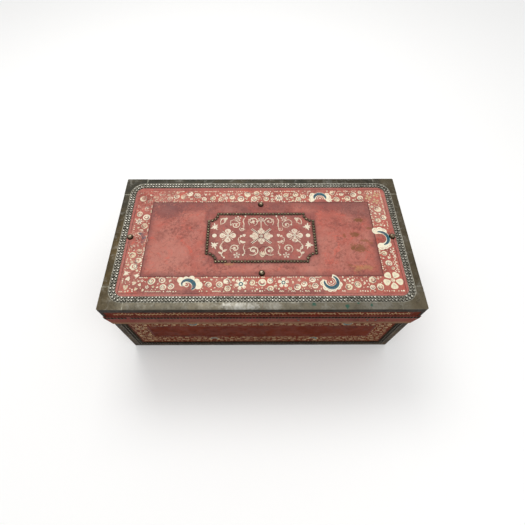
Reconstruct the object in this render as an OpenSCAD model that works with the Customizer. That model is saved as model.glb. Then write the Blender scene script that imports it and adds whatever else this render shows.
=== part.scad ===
// A leather-covered camphorwood chest with a brass-bound, hinged lid.
// Origin: centre of the underside. +X runs along the front from left to right, +Y to the back, +Z up.

/* [Chest] */
// Width over the brass edges of the lid
chest_w = 860; // [760:5:1000]
// Depth over the brass edges of the lid
chest_d = 456; // [400:4:560]
// Height from the floor to the brass edge on top of the lid
chest_h = 324; // [290:2:400]
// Height of the lid's rim
lid_h = 64; // [60:1:80]
// How far the lid stands out past the body at the front and at both ends
overhang = 6; // [5:0.5:8]

/* [Boards and leather] */
// Thickness of the boards of the body
board_t = 12; // [10:0.5:15]
// Thickness of the boards of the lid
lid_board_t = 13; // [10:0.5:15]
// Thickness of the leather skin
leather_t = 1.5; // [1:0.1:2]

/* [Brass strips] */
// Thickness of the sheet brass
brass_t = 1.2; // [0.8:0.1:1.5]
// Width of the fold of the lid's edge strips down the side
strip_w = 20; // [16:1:22]
// Length of each leg of the lid's corner pieces
corner_leg = 66; // [62:1:80]
// Radius of the lid's upright corners
corner_round = 3; // [1:0.5:3]
// Width of the upright legs of the lid's corner pieces
lid_strap_w = 10; // [8:1:14]
// Width of the body's corner straps on each face
body_strap_w = 35; // [30:1:40]
// Height of the strips along the foot of the body
base_strip_h = 36; // [34:1:40]

/* [Nails and bosses] */
// Diameter of a nail's head
nail_d = 8.5; // [7:0.5:8.5]
// Height of a nail's head
nail_h = 3; // [2:0.5:3]
// Distance from one nail to the next
nail_pitch = 8.9; // [8.8:0.1:12]
// Distance between the two rows of a double row
row_gap = 8.8; // [8.7:0.1:10]
// Distance from the lid's edge to the outer row of nails
row_inset = 25; // [25:0.5:28]
// Corner radius of the outer row of nails
row_r = 36; // [28:1:36]
// Distance from the body's edges to its outer row of nails
body_row_inset = 20.5; // [18:0.5:21]
// Depth of the rim's nail row below the top of the lid
rim_row_drop = 54; // [50:1:56]
// Diameter of the four bosses on the lid
boss_d = 18; // [14:1:18]
// Height of the four bosses
boss_h = 8; // [6:0.5:10]
// Distance of the end bosses from the middle of the lid
boss_x = 382; // [340:1:382]
// Distance of the front and back bosses from the middle of the lid
boss_y = 121; // [110:1:140]

/* [Cartouche] */
// Width of the nailed outline in the middle of the lid
cartouche_w = 312; // [260:2:360]
// Depth of the nailed outline
cartouche_d = 168; // [140:2:200]
// Radius of its hollow corners
cartouche_r = 27; // [20:1:34]

/* [Dust flap] */
// Thickness of the flap's leather
flap_t = 2.5; // [2:0.1:3]
// How far the flap hangs below the joint
flap_drop = 22; // [14:1:30]
// How far the flap's lower edge stands out
flap_flare = 5.2; // [4:0.1:6]
// How much shorter each end of the flap is at its lower edge
flap_slant = 16; // [4:1:20]

/* [Hinges] */
// Distance of each hinge from the middle of the back
hinge_x = 250; // [150:5:300]
// Length of a hinge's barrel
hinge_w = 70; // [50:2:90]
// Height of a leaf
leaf_h = 40; // [30:1:40]
// Thickness of a leaf
leaf_t = 1.8; // [1.5:0.1:2]
// Radius of a hinge's pin
pin_r = 1.8; // [1.5:0.1:2]

/* [Handles] */
// Height of the handles' pivots
handle_z = 170; // [140:5:190]
// Distance between the two posts of a handle
post_gap = 90; // [80:2:110]
// Radius of the bail's rod
rod_r = 4; // [3.5:0.1:4.5]
// Drop of the bail below its pivots
bail_drop = 56; // [50:1:64]

/* [Lock] */
// Height of the keyhole
keyhole_z = 198; // [190:1:205]
// Travel of the lock's bolt
bolt_travel = 12; // [10:0.5:12]

/* [Hidden] */

wood = [0.62, 0.46, 0.30];
red = [0.69, 0.38, 0.34];
brass = [0.42, 0.37, 0.26];

// Lid faces: brass, then leather, then wood
lid_x = chest_w / 2;
lid_y = chest_d / 2;
lid_leather_x = lid_x - brass_t;
lid_leather_y = lid_y - brass_t;
lid_leather_top = chest_h - brass_t;
lid_wood_x = lid_leather_x - leather_t;
lid_wood_y = lid_leather_y - leather_t;
lid_wood_top = lid_leather_top - leather_t;
lid_rail_top = lid_wood_top - lid_board_t;
lid_bottom = chest_h - lid_h;

// Brass on top of the lid: it reaches just past the double row of nails, round corners included
top_strip_w = row_inset + row_gap + nail_d / 2;
top_inner_r = row_r - row_gap - nail_d / 2;

// Body faces: set back at the front and ends, level with the lid at the back
joint_gap = 0.5;
body_top = lid_bottom - joint_gap;
body_x = lid_x - overhang;
body_leather_x = body_x - brass_t;
body_wood_x = body_leather_x - leather_t;
front_y = overhang - lid_y;
front_leather_y = front_y + brass_t;
front_wood_y = front_leather_y + leather_t;
front_inner_y = front_wood_y + board_t;
back_inner_y = lid_wood_y - board_t;

// Hinge barrel: its back is as far out as the flap's lower edge, so that the plan is centred
flap_front_y = lid_leather_y + flap_t + flap_flare;
knuckle_r = pin_r + 1.8;
hinge_y = flap_front_y - knuckle_r;
hinge_z = lid_bottom - joint_gap / 2;
running = 0.05;
clear = 0.4;
knuckles = 5;
leaf_gap = 3;

// Lock: a box on the inside of the front board, under a staple on the lid's front rail
lock_half = 35;
lock_depth = 16;
lock_wall = 2;
lock_top = body_top - 2.5;
lock_bottom = keyhole_z - 22;
lock_mid_y = front_inner_y + lock_depth / 2;
bolt_z = lock_top - 10;

// A block from one corner to the other, given as its span along each axis
module span(x, y, z) {
    translate([x[0], y[0], z[0]])
        cube([x[1] - x[0], y[1] - y[0], z[1] - z[0]]);
}

// Faces: children lie in XY with +Z pointing out of the face
module on_front(y) { translate([0, -y, 0]) rotate([90, 0, 0]) children(); }
module on_back(y) { translate([0, y, 0]) rotate([90, 0, 180]) children(); }
module on_right(x) { translate([x, 0, 0]) rotate([90, 0, 90]) children(); }
module on_left(x) { translate([-x, 0, 0]) rotate([90, 0, -90]) children(); }

// Evenly spaced points from a up to, but not including, b
function line_points(a, b) =
    let (n = floor(norm(b - a) / nail_pitch))
    [for (i = [0:n - 1]) a + (b - a) * i / n];

// Evenly spaced points on an arc, leaving out the last one
function arc_points(centre, r, from, to) =
    let (n = floor(r * abs(to - from) * PI / 180 / nail_pitch))
    [for (i = [0:n - 1])
        let (t = from + (to - from) * i / n)
        centre + r * [cos(t), sin(t)]];

// A rectangle of points with round corners, half sizes x and y
function round_ring(x, y, r) =
    let (a = x - r, b = y - r)
    concat(
        line_points([a, -y], [-a, -y]), arc_points([-a, -b], r, 270, 180),
        line_points([-x, -b], [-x, b]), arc_points([-a, b], r, 180, 90),
        line_points([-a, y], [a, y]), arc_points([a, b], r, 90, 0),
        line_points([x, b], [x, -b]), arc_points([a, -b], r, 0, -90)
    );

// A rectangle of points with hollow corners, half sizes x and y
function hollow_ring(x, y, r) =
    let (a = x - r, b = y - r)
    concat(
        line_points([a, -y], [-a, -y]), arc_points([-x, -y], r, 0, 90),
        line_points([-x, -b], [-x, b]), arc_points([-x, y], r, 270, 360),
        line_points([-a, y], [a, y]), arc_points([x, y], r, 180, 270),
        line_points([x, b], [x, -b]), arc_points([x, -y], r, 90, 180)
    );

// A U of points down one side, along the foot and up the other side
function u_row(x, foot, top) =
    concat(
        line_points([-x, top], [-x, foot]), line_points([-x, foot], [x, foot]),
        line_points([x, foot], [x, top]), [[x, top]]
    );

module nail() {
    cylinder(h = nail_h, r1 = nail_d / 2, r2 = nail_d / 4, $fn = 24);
}

module nails(points) {
    for (p = points)
        translate([p[0], p[1], 0]) nail();
}

// ---- Body ----

module bottom_board() {
    color(wood) span([-body_wood_x, body_wood_x], [front_wood_y, lid_wood_y], [0, board_t]);
}

// Round hole with a slot below it, along Z
module key_shape(h) {
    translate([0, 0, -1]) cylinder(h = h + 2, r = 2.6, $fn = 32);
    translate([-1.2, -7, -1]) cube([2.4, 7, h + 2]);
}

module keyhole_cut(y0, y1) {
    translate([0, y1, keyhole_z]) rotate([90, 0, 0]) key_shape(y1 - y0);
}

module front_board() {
    color(wood) difference() {
        span([-body_wood_x, body_wood_x], [front_wood_y, front_inner_y], [board_t, body_top]);
        keyhole_cut(front_wood_y, front_inner_y);
    }
}

module back_board() {
    color(wood) span([-body_wood_x, body_wood_x], [back_inner_y, lid_wood_y], [board_t, body_top]);
}

module end_board() {
    color(wood) span([body_wood_x - board_t, body_wood_x], [front_inner_y, back_inner_y],
        [board_t, body_top]);
}

module front_leather() {
    color(red) difference() {
        span([-body_leather_x, body_leather_x], [front_leather_y, front_wood_y], [0, body_top]);
        keyhole_cut(front_leather_y, front_wood_y);
    }
}

module back_leather() {
    color(red) span([-body_leather_x, body_leather_x], [lid_wood_y, lid_leather_y], [0, body_top]);
}

module end_leather() {
    color(red) span([body_wood_x, body_leather_x], [front_wood_y, lid_wood_y], [0, body_top]);
}

// Upright angle of sheet brass round one corner of the right-hand end; side is -1 front, 1 back
module corner_strap(side) {
    outer = side < 0 ? -front_y : lid_y;
    color(brass) scale([1, side, 1]) {
        span([body_x - body_strap_w, body_x], [outer - brass_t, outer], [0, body_top]);
        span([body_x - brass_t, body_x], [outer - body_strap_w, outer], [0, body_top]);
    }
}

module base_strip_front() {
    long = body_x - body_strap_w;
    color(brass) span([-long, long], [front_y, front_leather_y], [0, base_strip_h]);
}

module base_strip_back() {
    long = body_x - body_strap_w;
    color(brass) span([-long, long], [lid_leather_y, lid_y], [0, base_strip_h]);
}

module base_strip_end() {
    color(brass) span([body_leather_x, body_x],
        [front_y + body_strap_w, lid_y - body_strap_w], [0, base_strip_h]);
}

// The double row on an end: its front and back edges are not the same distance from the middle
module end_body_nails(flip) {
    middle = (front_y + lid_y) / 2;
    half = (lid_y - front_y) / 2;
    translate([flip * middle, 0, 0])
        for (row = [0, 1])
            nails(u_row(half - body_row_inset - row * row_gap, body_row_inset + row * row_gap,
                body_top - nail_d));
}

module body_nails() {
    color(brass) {
        for (row = [0, 1]) {
            inset = body_row_inset + row * row_gap;
            on_front(-front_y) nails(u_row(body_x - inset, inset, body_top - nail_d));
            on_back(lid_y) nails(u_row(body_x - inset, inset, body_top - nail_d));
        }
        on_right(body_x) end_body_nails(1);
        on_left(body_x) end_body_nails(-1);
    }
}

// ---- Hinges ----

// Barrel knuckles from number first, every second one, about the hinge axis
module knuckle_row(first, r) {
    step = hinge_w / knuckles;
    for (i = [first:2:knuckles - 1])
        translate([-hinge_w / 2 + i * step + clear / 2, hinge_y, hinge_z]) rotate([0, 90, 0])
            cylinder(h = step - clear, r = r, $fn = 48);
}

// Room for the other leaf's knuckles
module knuckle_room(first) {
    step = hinge_w / knuckles;
    for (i = [first:2:knuckles - 1])
        translate([-hinge_w / 2 + i * step - clear / 2, hinge_y, hinge_z]) rotate([0, 90, 0])
            cylinder(h = step + clear, r = knuckle_r + clear, $fn = 48);
}

// Leaf with its knuckles; z is the span of the flat plate
module hinge_leaf(z, first) {
    color(brass) difference() {
        union() {
            difference() {
                span([-hinge_w / 2, hinge_w / 2], [lid_leather_y, lid_leather_y + leaf_t], z);
                knuckle_room(1 - first);
            }
            knuckle_row(first, knuckle_r);
        }
        translate([-hinge_w, hinge_y, hinge_z]) rotate([0, 90, 0])
            cylinder(h = 2 * hinge_w, r = pin_r + running, $fn = 48);
    }
}

module hinge_leaf_body() { hinge_leaf([hinge_z - leaf_gap - leaf_h, hinge_z - clear], 0); }
module hinge_leaf_lid() { hinge_leaf([hinge_z + clear, hinge_z + leaf_gap + leaf_h], 1); }

module hinge_pin() {
    color(brass) translate([-hinge_w / 2 - 1, hinge_y, hinge_z]) rotate([0, 90, 0])
        cylinder(h = hinge_w + 2, r = pin_r, $fn = 48);
}

// ---- Handles, drawn on the right-hand end and mirrored for the left ----

pivot_out = 10;
pivot_x = body_leather_x + pivot_out;
bail_pin_r = 3;
arm_y = post_gap / 2 + 13;
bend_r = 14;

module handle_post(y) {
    translate([body_leather_x, y, handle_z]) rotate([0, 90, 0]) difference() {
        union() {
            cylinder(h = 2, r = 14, $fn = 48);
            cylinder(h = pivot_out, r = 6, $fn = 48);
            translate([0, 0, pivot_out]) sphere(r = 7.5, $fn = 48);
        }
        translate([0, 20, pivot_out]) rotate([90, 0, 0])
            cylinder(h = 40, r = bail_pin_r + running, $fn = 48);
    }
}

module handle_posts() {
    color(brass) for (side = [-1, 1]) handle_post(side * post_gap / 2);
}

// Half of the bail, from its pin to the middle of its grip
module bail_half() {
    pin_start = post_gap / 2 - 9;
    arm_h = bail_drop - bend_r;
    translate([0, pin_start, 0]) rotate([-90, 0, 0])
        cylinder(h = arm_y - pin_start, r = bail_pin_r, $fn = 48);
    translate([0, arm_y, 0]) sphere(r = rod_r + 0.5, $fn = 48);
    translate([0, arm_y, -arm_h]) cylinder(h = arm_h, r = rod_r, $fn = 48);
    translate([0, arm_y - bend_r, -arm_h]) rotate([90, 90, 90])
        rotate_extrude(angle = 90, $fn = 48) translate([bend_r, 0]) circle(rod_r, $fn = 32);
    translate([0, 0, -bail_drop]) rotate([-90, 0, 0])
        cylinder(h = arm_y - bend_r, r1 = rod_r + 2, r2 = rod_r, $fn = 48);
}

module bail() {
    color(brass) translate([pivot_x, 0, handle_z]) {
        bail_half();
        mirror([0, 1, 0]) bail_half();
    }
}

// ---- Lock ----

module keyhole_escutcheon() {
    translate([0, front_leather_y, keyhole_z]) rotate([90, 0, 0]) color(brass) difference() {
        union() {
            cylinder(h = 0.8, r = 5.5, $fn = 48);
            translate([-3.5, -9.5, 0]) cube([7, 9.5, 0.8]);
        }
        key_shape(0.8);
    }
}

module lock_case() {
    back = front_inner_y + lock_depth;
    color(brass) difference() {
        span([-lock_half, lock_half], [front_inner_y, back], [lock_bottom, lock_top]);
        span([lock_wall - lock_half, lock_half - lock_wall],
            [front_inner_y + lock_wall, back - lock_wall],
            [lock_bottom + lock_wall, lock_top - lock_wall]);
        span([-3.5, 3.5], [front_inner_y + lock_wall, back - lock_wall], [bolt_z, lock_top + 1]);
        keyhole_cut(front_inner_y, front_inner_y + lock_wall);
    }
}

module lock_bolt() {
    color(brass) {
        span([6, 28], [lock_mid_y - 2, lock_mid_y + 2], [bolt_z - 2.2, bolt_z + 2.2]);
        span([16, 30], [lock_mid_y - 3, lock_mid_y + 3], [bolt_z - 12, bolt_z + 2.2]);
    }
}

// Plate on the lid's front rail, with a foot that reaches down into the lock
module lock_staple() {
    rail_y = lid_board_t - lid_wood_y;
    color(brass) difference() {
        union() {
            span([-22, 22], [rail_y, rail_y + 2], [lid_bottom + 4, lid_bottom + 34]);
            span([-2, 2], [rail_y, lock_mid_y + 5], [lid_bottom + 4, lid_bottom + 14]);
            span([-2, 2], [lock_mid_y - 5, lock_mid_y + 5], [bolt_z - 6, lid_bottom + 14]);
        }
        span([-3, 3], [lock_mid_y - 2.5, lock_mid_y + 2.5], [bolt_z - 2.7, bolt_z + 2.7]);
    }
}

// ---- Lid ----

module lid_board() {
    color(wood) span([-lid_wood_x, lid_wood_x], [-lid_wood_y, lid_wood_y],
        [lid_rail_top, lid_wood_top]);
}

module lid_back_rail() {
    color(wood) span([-lid_wood_x, lid_wood_x], [lid_wood_y - lid_board_t, lid_wood_y],
        [lid_bottom, lid_rail_top]);
}

module lid_end_rail() {
    y = lid_wood_y - lid_board_t;
    color(wood) span([lid_wood_x - lid_board_t, lid_wood_x], [-y, y], [lid_bottom, lid_rail_top]);
}

module lid_top_leather() {
    color(red) span([-lid_leather_x, lid_leather_x], [-lid_leather_y, lid_leather_y],
        [lid_wood_top, lid_leather_top]);
}

module lid_back_leather() {
    color(red) span([-lid_leather_x, lid_leather_x], [lid_wood_y, lid_leather_y],
        [lid_bottom, lid_wood_top]);
}

module lid_end_leather() {
    color(red) span([lid_wood_x, lid_leather_x], [-lid_wood_y, lid_wood_y],
        [lid_bottom, lid_wood_top]);
}

// Strip nailed to the lid's front, straps included, that hangs over the joint and stands out at
// its lower edge
module front_flap() {
    face = -lid_leather_y;
    top = chest_h - rim_row_drop + nail_d / 2 + 2.5;
    fold = lid_bottom + 2;
    foot = lid_bottom - flap_drop;
    color(red) difference() {
        intersection() {
            translate([-lid_x, 0, 0]) rotate([90, 0, 90]) linear_extrude(2 * lid_x) polygon([
                [face, top], [face - flap_t, top], [face - flap_t, fold],
                [face - flap_t - flap_flare, foot], [face - flap_flare, foot], [face, fold]
            ]);
            translate([0, chest_d, 0]) rotate([90, 0, 0]) linear_extrude(2 * chest_d) polygon([
                [-lid_x, top + 1], [lid_x, top + 1], [lid_x, fold],
                [lid_x - flap_slant, foot - 1], [flap_slant - lid_x, foot - 1], [-lid_x, fold]
            ]);
        }
        strap_in = lid_x - lid_strap_w;
        for (x = [[-lid_x - 1, -strap_in], [strap_in, lid_x + 1]])
            span(x, [-lid_y, 1 - lid_leather_y], [lid_bottom - 1, top + 1]);
    }
}

// Sheet brass folded over the lid's back edge, between two corner pieces
module lid_long_strip() {
    long = lid_x - corner_leg;
    color(brass) {
        span([-long, long], [lid_y - top_strip_w, lid_y], [lid_leather_top, chest_h]);
        span([-long, long], [lid_leather_y, lid_y], [chest_h - strip_w, chest_h]);
    }
}

// The same over the lid's right-hand edge
module lid_end_strip() {
    long = lid_y - corner_leg;
    color(brass) {
        span([lid_x - top_strip_w, lid_x], [-long, long], [lid_leather_top, chest_h]);
        span([lid_leather_x, lid_x], [-long, long], [chest_h - strip_w, chest_h]);
    }
}

// Top of the corner piece at the back right: an L with a round inner corner
module lid_corner_top() {
    inner_x = lid_x - top_strip_w - top_inner_r;
    inner_y = lid_y - top_strip_w - top_inner_r;
    linear_extrude(brass_t) polygon(concat(
        [[lid_x, lid_y], [lid_x - corner_leg, lid_y], [lid_x - corner_leg, lid_y - top_strip_w]],
        [for (t = [90:-15:0]) [inner_x + top_inner_r * cos(t), inner_y + top_inner_r * sin(t)]],
        [[lid_x - top_strip_w, lid_y - corner_leg], [lid_x, lid_y - corner_leg]]
    ));
}

// Block with the lid's round upright corner at the back right
module lid_corner_block() {
    c = [lid_x - corner_round, lid_y - corner_round];
    translate([0, 0, lid_bottom]) linear_extrude(lid_h) polygon(concat(
        [[0, 0], [lid_x, 0]],
        [for (t = [0:15:90]) c + corner_round * [cos(t), sin(t)]],
        [[0, lid_y]]
    ));
}

// Corner piece at the back right: its top, its folded edges and an upright angle
module lid_corner() {
    color(brass) intersection() {
        lid_corner_block();
        union() {
            translate([0, 0, lid_leather_top]) lid_corner_top();
            span([lid_x - corner_leg, lid_x], [lid_leather_y, lid_y], [chest_h - strip_w, chest_h]);
            span([lid_leather_x, lid_x], [lid_y - corner_leg, lid_y], [chest_h - strip_w, chest_h]);
            span([lid_x - lid_strap_w, lid_x], [lid_leather_y, lid_y], [lid_bottom, chest_h]);
            span([lid_leather_x, lid_x], [lid_y - lid_strap_w, lid_y], [lid_bottom, chest_h]);
        }
    }
}

module lid_top_nails() {
    color(brass) translate([0, 0, chest_h])
        for (row = [0, 1]) {
            inset = row_inset + row * row_gap;
            nails(round_ring(lid_x - inset, lid_y - inset, row_r - row * row_gap));
        }
}

module cartouche_nails() {
    color(brass) translate([0, 0, lid_leather_top])
        nails(hollow_ring(cartouche_w / 2, cartouche_d / 2, cartouche_r));
}

// One row round the rim: over the flap in front, on the leather elsewhere, clear of the hinges
module rim_nails() {
    z = chest_h - rim_row_drop;
    front_end = lid_x - nail_d / 2 - 1;
    back_end = lid_x - lid_strap_w - nail_d;
    side_end = lid_y - lid_strap_w - nail_d;
    hinge_end = hinge_w / 2 + nail_d;
    color(brass) {
        on_front(lid_leather_y + flap_t) {
            nails(line_points([-front_end, z], [front_end, z]));
            translate([front_end, z, 0]) nail();
        }
        on_right(lid_leather_x) nails(line_points([-side_end, z], [side_end, z]));
        on_left(lid_leather_x) nails(line_points([-side_end, z], [side_end, z]));
        on_back(lid_leather_y) {
            nails(line_points([-back_end, z], [-hinge_x - hinge_end, z]));
            nails(line_points([-hinge_x + hinge_end, z], [hinge_x - hinge_end, z]));
            nails(line_points([hinge_x + hinge_end, z], [back_end, z]));
        }
    }
}

// Domed boss on a thin round foot
module boss() {
    r = boss_d / 2;
    foot_h = 1.2;
    dome_r = r - 1.5;
    cylinder(h = foot_h, r = r, $fn = 48);
    translate([0, 0, foot_h]) difference() {
        sphere(r = dome_r, $fn = 48);
        translate([-r, -r, -2 * r]) cube([2 * r, 2 * r, 2 * r]);
        translate([-r, -r, boss_h - foot_h]) cube([2 * r, 2 * r, 2 * r]);
    }
}

module lid_bosses() {
    color(brass) translate([0, 0, lid_leather_top])
        for (p = [[boss_x, 0], [-boss_x, 0], [0, boss_y], [0, -boss_y]])
            translate([p[0], p[1], 0]) boss();
}

module on_other_side() { mirror([1, 0, 0]) children(); }
module at_front() { mirror([0, 1, 0]) children(); }

bottom_board();
front_board();
back_board();
on_other_side() end_board();  // left_end_board
end_board();  // right_end_board
front_leather();
back_leather();
on_other_side() end_leather();  // left_end_leather
end_leather();  // right_end_leather
on_other_side() corner_strap(-1);  // corner_strap_front_left
corner_strap(-1);  // corner_strap_front_right
on_other_side() corner_strap(1);  // corner_strap_back_left
corner_strap(1);  // corner_strap_back_right
base_strip_front();
base_strip_back();
on_other_side() base_strip_end();  // base_strip_left
base_strip_end();  // base_strip_right
body_nails();
translate([-hinge_x, 0, 0]) hinge_leaf_body();  // hinge_leaf_body_left
translate([hinge_x, 0, 0]) hinge_leaf_body();  // hinge_leaf_body_right
translate([-hinge_x, 0, 0]) hinge_pin();  // hinge_pin_left
translate([hinge_x, 0, 0]) hinge_pin();  // hinge_pin_right
on_other_side() handle_posts();  // handle_posts_left
handle_posts();  // handle_posts_right
on_other_side() bail();  // bail_left
bail();  // bail_right
keyhole_escutcheon();
lock_case();
lock_bolt();
lid_board();
at_front() lid_back_rail();  // lid_front_rail
lid_back_rail();
on_other_side() lid_end_rail();  // lid_left_rail
lid_end_rail();  // lid_right_rail
lid_top_leather();
at_front() lid_back_leather();  // lid_front_leather
lid_back_leather();
on_other_side() lid_end_leather();  // lid_left_leather
lid_end_leather();  // lid_right_leather
front_flap();
at_front() lid_long_strip();  // lid_strip_front
lid_long_strip();  // lid_strip_back
on_other_side() lid_end_strip();  // lid_strip_left
lid_end_strip();  // lid_strip_right
on_other_side() at_front() lid_corner();  // lid_corner_front_left
at_front() lid_corner();  // lid_corner_front_right
on_other_side() lid_corner();  // lid_corner_back_left
lid_corner();  // lid_corner_back_right
lid_top_nails();
cartouche_nails();
rim_nails();
lid_bosses();
translate([-hinge_x, 0, 0]) hinge_leaf_lid();  // hinge_leaf_lid_left
translate([hinge_x, 0, 0]) hinge_leaf_lid();  // hinge_leaf_lid_right
lock_staple();
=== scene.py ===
"""Looks of the leather-covered chest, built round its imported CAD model, in metres."""

import math
import random

import bmesh
import bpy
import numpy as np
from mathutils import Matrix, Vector, noise


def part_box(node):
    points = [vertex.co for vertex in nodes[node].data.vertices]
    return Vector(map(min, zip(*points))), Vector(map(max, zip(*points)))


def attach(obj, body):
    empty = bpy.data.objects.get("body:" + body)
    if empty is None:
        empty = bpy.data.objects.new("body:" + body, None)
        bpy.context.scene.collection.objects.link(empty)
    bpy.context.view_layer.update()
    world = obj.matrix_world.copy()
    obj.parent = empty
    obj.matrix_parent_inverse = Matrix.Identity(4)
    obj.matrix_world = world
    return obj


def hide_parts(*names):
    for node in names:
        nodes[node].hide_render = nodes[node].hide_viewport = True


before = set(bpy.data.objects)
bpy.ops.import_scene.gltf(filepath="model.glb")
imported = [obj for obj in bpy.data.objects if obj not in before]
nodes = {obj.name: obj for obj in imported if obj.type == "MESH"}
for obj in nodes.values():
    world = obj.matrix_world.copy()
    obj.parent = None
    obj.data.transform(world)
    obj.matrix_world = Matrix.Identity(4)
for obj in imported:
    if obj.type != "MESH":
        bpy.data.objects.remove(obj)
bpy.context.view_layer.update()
MM = 0.001
X, Y, Z = Vector((1, 0, 0)), Vector((0, 1, 0)), Vector((0, 0, 1))

# Half sizes of rectangles about the lid's middle and widths, in millimetres
FIELD = (332, 130)
BORDER = (384, 182)
CARTOUCHE = (156, 84)
CARTOUCHE_R = 27
NAIL_ROW = (369, 167)
NAIL_ROW_R = 32.5
NAIL_ROW_HALF = 8.6
SEAM_AT = (364, 162)
FOLD = 1.6


# ---- Materials ----


def rgb(red, green, blue):
    """A colour written as 0 to 255 display values, as the linear one that a shader needs."""

    def linear(value):
        share = value / 255
        return share / 12.92 if share <= 0.04045 else ((share + 0.055) / 1.055) ** 2.4

    return (linear(red), linear(green), linear(blue), 1)


def unit(angle):
    """Cosine and sine of an angle in degrees."""
    return math.cos(math.radians(angle)), math.sin(math.radians(angle))


def off(x, y, far, angle):
    """The place at a distance from x, y, in a direction in degrees."""
    c, s = unit(angle)
    return x + far * c, y + far * s


def placed(points, x, y, angle):
    """Points turned by an angle in degrees, then moved to x, y."""
    c, s = unit(angle)
    return [(x + u * c - v * s, y + u * s + v * c) for u, v in points]


class Graph:
    """A material's node tree, with a short call for each kind of node used here."""

    def __init__(self, name):
        self.material = bpy.data.materials.new(name)
        self.material.use_nodes = True
        self.tree = self.material.node_tree
        self.shader = self.tree.nodes["Principled BSDF"]
        self.place = self.new("TexCoord", {}).outputs["Object"]

    def put(self, socket, value):
        if isinstance(value, bpy.types.NodeSocket):
            self.tree.links.new(value, socket)
        else:
            socket.default_value = value

    def set(self, name, value):
        self.put(self.shader.inputs[name], value)

    def new(self, kind, inputs, **settings):
        """A node with its settings, and its inputs set or linked by number or name."""
        node = self.tree.nodes.new("ShaderNode" + kind)
        for key, value in settings.items():
            setattr(node, key, value)
        for key, value in inputs.items():
            self.put(node.inputs[key], value)
        return node

    def attribute(self, name):
        return self.new("Attribute", {}, attribute_name=name).outputs["Fac"]

    def vector(self, operation, a, b=(0, 0, 0)):
        return self.new("VectorMath", {0: a, 1: b}, operation=operation).outputs

    def noise(self, scale, detail=4.0, rough=0.55, warp=0.0, stretch=None):
        place = self.vector("MULTIPLY", self.place, stretch)[0] if stretch else self.place
        return self.new("TexNoise", {
            "Vector": place, "Scale": scale, "Detail": detail, "Roughness": rough, "Distortion": warp
        }).outputs["Fac"]

    def cells(self, scale):
        return self.new("TexVoronoi", {"Vector": self.place, "Scale": scale}).outputs["Distance"]

    def math(self, operation, a, b=0.0, clamp=False):
        return self.new("Math", {0: a, 1: b}, operation=operation, use_clamp=clamp).outputs[0]

    def times(self, a, b):
        return self.math("MULTIPLY", a, b)

    def plus(self, a, b):
        return self.math("ADD", a, b)

    def minus(self, a, b):
        return self.math("SUBTRACT", a, b)

    def most(self, a, b):
        return self.math("MAXIMUM", a, b)

    def size(self, value):
        return self.math("ABSOLUTE", value)

    def span(self, value, low, high, to_low=0.0, to_high=1.0):
        """Takes value from low..high to to_low..to_high, smoothly and clamped."""
        return self.new("MapRange", {
            "Value": value, "From Min": low, "From Max": high, "To Min": to_low, "To Max": to_high
        }, interpolation_type="SMOOTHSTEP").outputs["Result"]

    def mix(self, share, a, b, part=1.0):
        """Colour a with b laid over it, by share times part."""
        share = share if part == 1.0 else self.times(share, part)
        return self.new("Mix", {0: share, 6: a, 7: b}, data_type="RGBA").outputs[2]

    def axis(self, name):
        return self.new("SeparateXYZ", {0: self.place}).outputs[name]

    def spot(self, x, y, half_x, half_y, ragged):
        """1 inside a ragged oval seen from above, 0 outside it."""
        moved = self.vector("SUBTRACT", self.place, (x * MM, y * MM, 0))[0]
        shrunk = self.vector("MULTIPLY", moved, (1 / (half_x * MM), 1 / (half_y * MM), 0))[0]
        far = self.vector("LENGTH", shrunk)["Value"]
        rough = self.minus(self.noise(120, 6, 0.75, 0.4), 0.5)
        return self.span(self.plus(far, self.times(rough, 5 * ragged)), 0.7, 1.2, 1.0, 0.0)

    def inside(self, half_x, half_y):
        """Distance inside a rectangle about the lid's middle, in metres; negative outside."""
        x = self.minus(half_x * MM, self.size(self.axis("X")))
        y = self.minus(half_y * MM, self.size(self.axis("Y")))
        return self.math("MINIMUM", x, y)

    def reach(self, half_x, half_y, rounded=True):
        """Distance from the corners of a rectangle about the lid's middle, in metres."""
        x = self.minus(self.size(self.axis("X")), half_x * MM)
        y = self.minus(self.size(self.axis("Y")), half_y * MM)
        if rounded:
            x, y = self.most(x, 0.0), self.most(y, 0.0)
        return self.math("SQRT", self.plus(self.times(x, x), self.times(y, y)))

    def near(self, value, middle, half, soft):
        """1 where value is within half of middle, falling to 0 over soft."""
        return self.span(self.size(self.minus(value, middle)), half, half + soft, 1.0, 0.0)

    def bump(self, height, distance, strength=1.0, under=None):
        inputs = {"Strength": strength, "Distance": distance, "Height": height}
        if under is not None:
            inputs["Normal"] = under
        return self.new("Bump", inputs).outputs["Normal"]


def leather_colour(g, base, pale, dark, bright):
    """Old painted leather: broad patches of four tones with fine mottling and specks."""
    broad = g.span(g.noise(7, 5, 0.6, 0.6), 0.36, 0.66)
    colour = g.mix(broad, base, pale, 0.8)
    worn_and_highlit = g.span(g.noise(26, 7, 0.7, 0.9), 0.52, 0.70)
    colour = g.mix(worn_and_highlit, colour, bright, 0.75)
    shade = g.span(g.noise(15, 7, 0.66, 0.4), 0.50, 0.72)
    colour = g.mix(shade, colour, dark, 0.6)
    where = g.span(g.noise(12, 4, 0.6, 0.5), 0.42, 0.6, 0.15, 0.7)
    mottle = g.span(g.noise(120, 6, 0.85), 0.46, 0.60)
    colour = g.mix(g.times(mottle, where), colour, dark)
    flecks = g.span(g.noise(160, 5, 0.85), 0.52, 0.62)
    colour = g.mix(flecks, colour, pale, 0.5)
    blush = g.span(g.noise(70, 6, 0.75, 0.8), 0.58, 0.70)
    colour = g.mix(blush, colour, bright, 0.45)
    specks = g.span(g.noise(90, 6, 0.8, 0.8), 0.59, 0.64)
    return g.mix(specks, colour, dark, 0.65)


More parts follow.
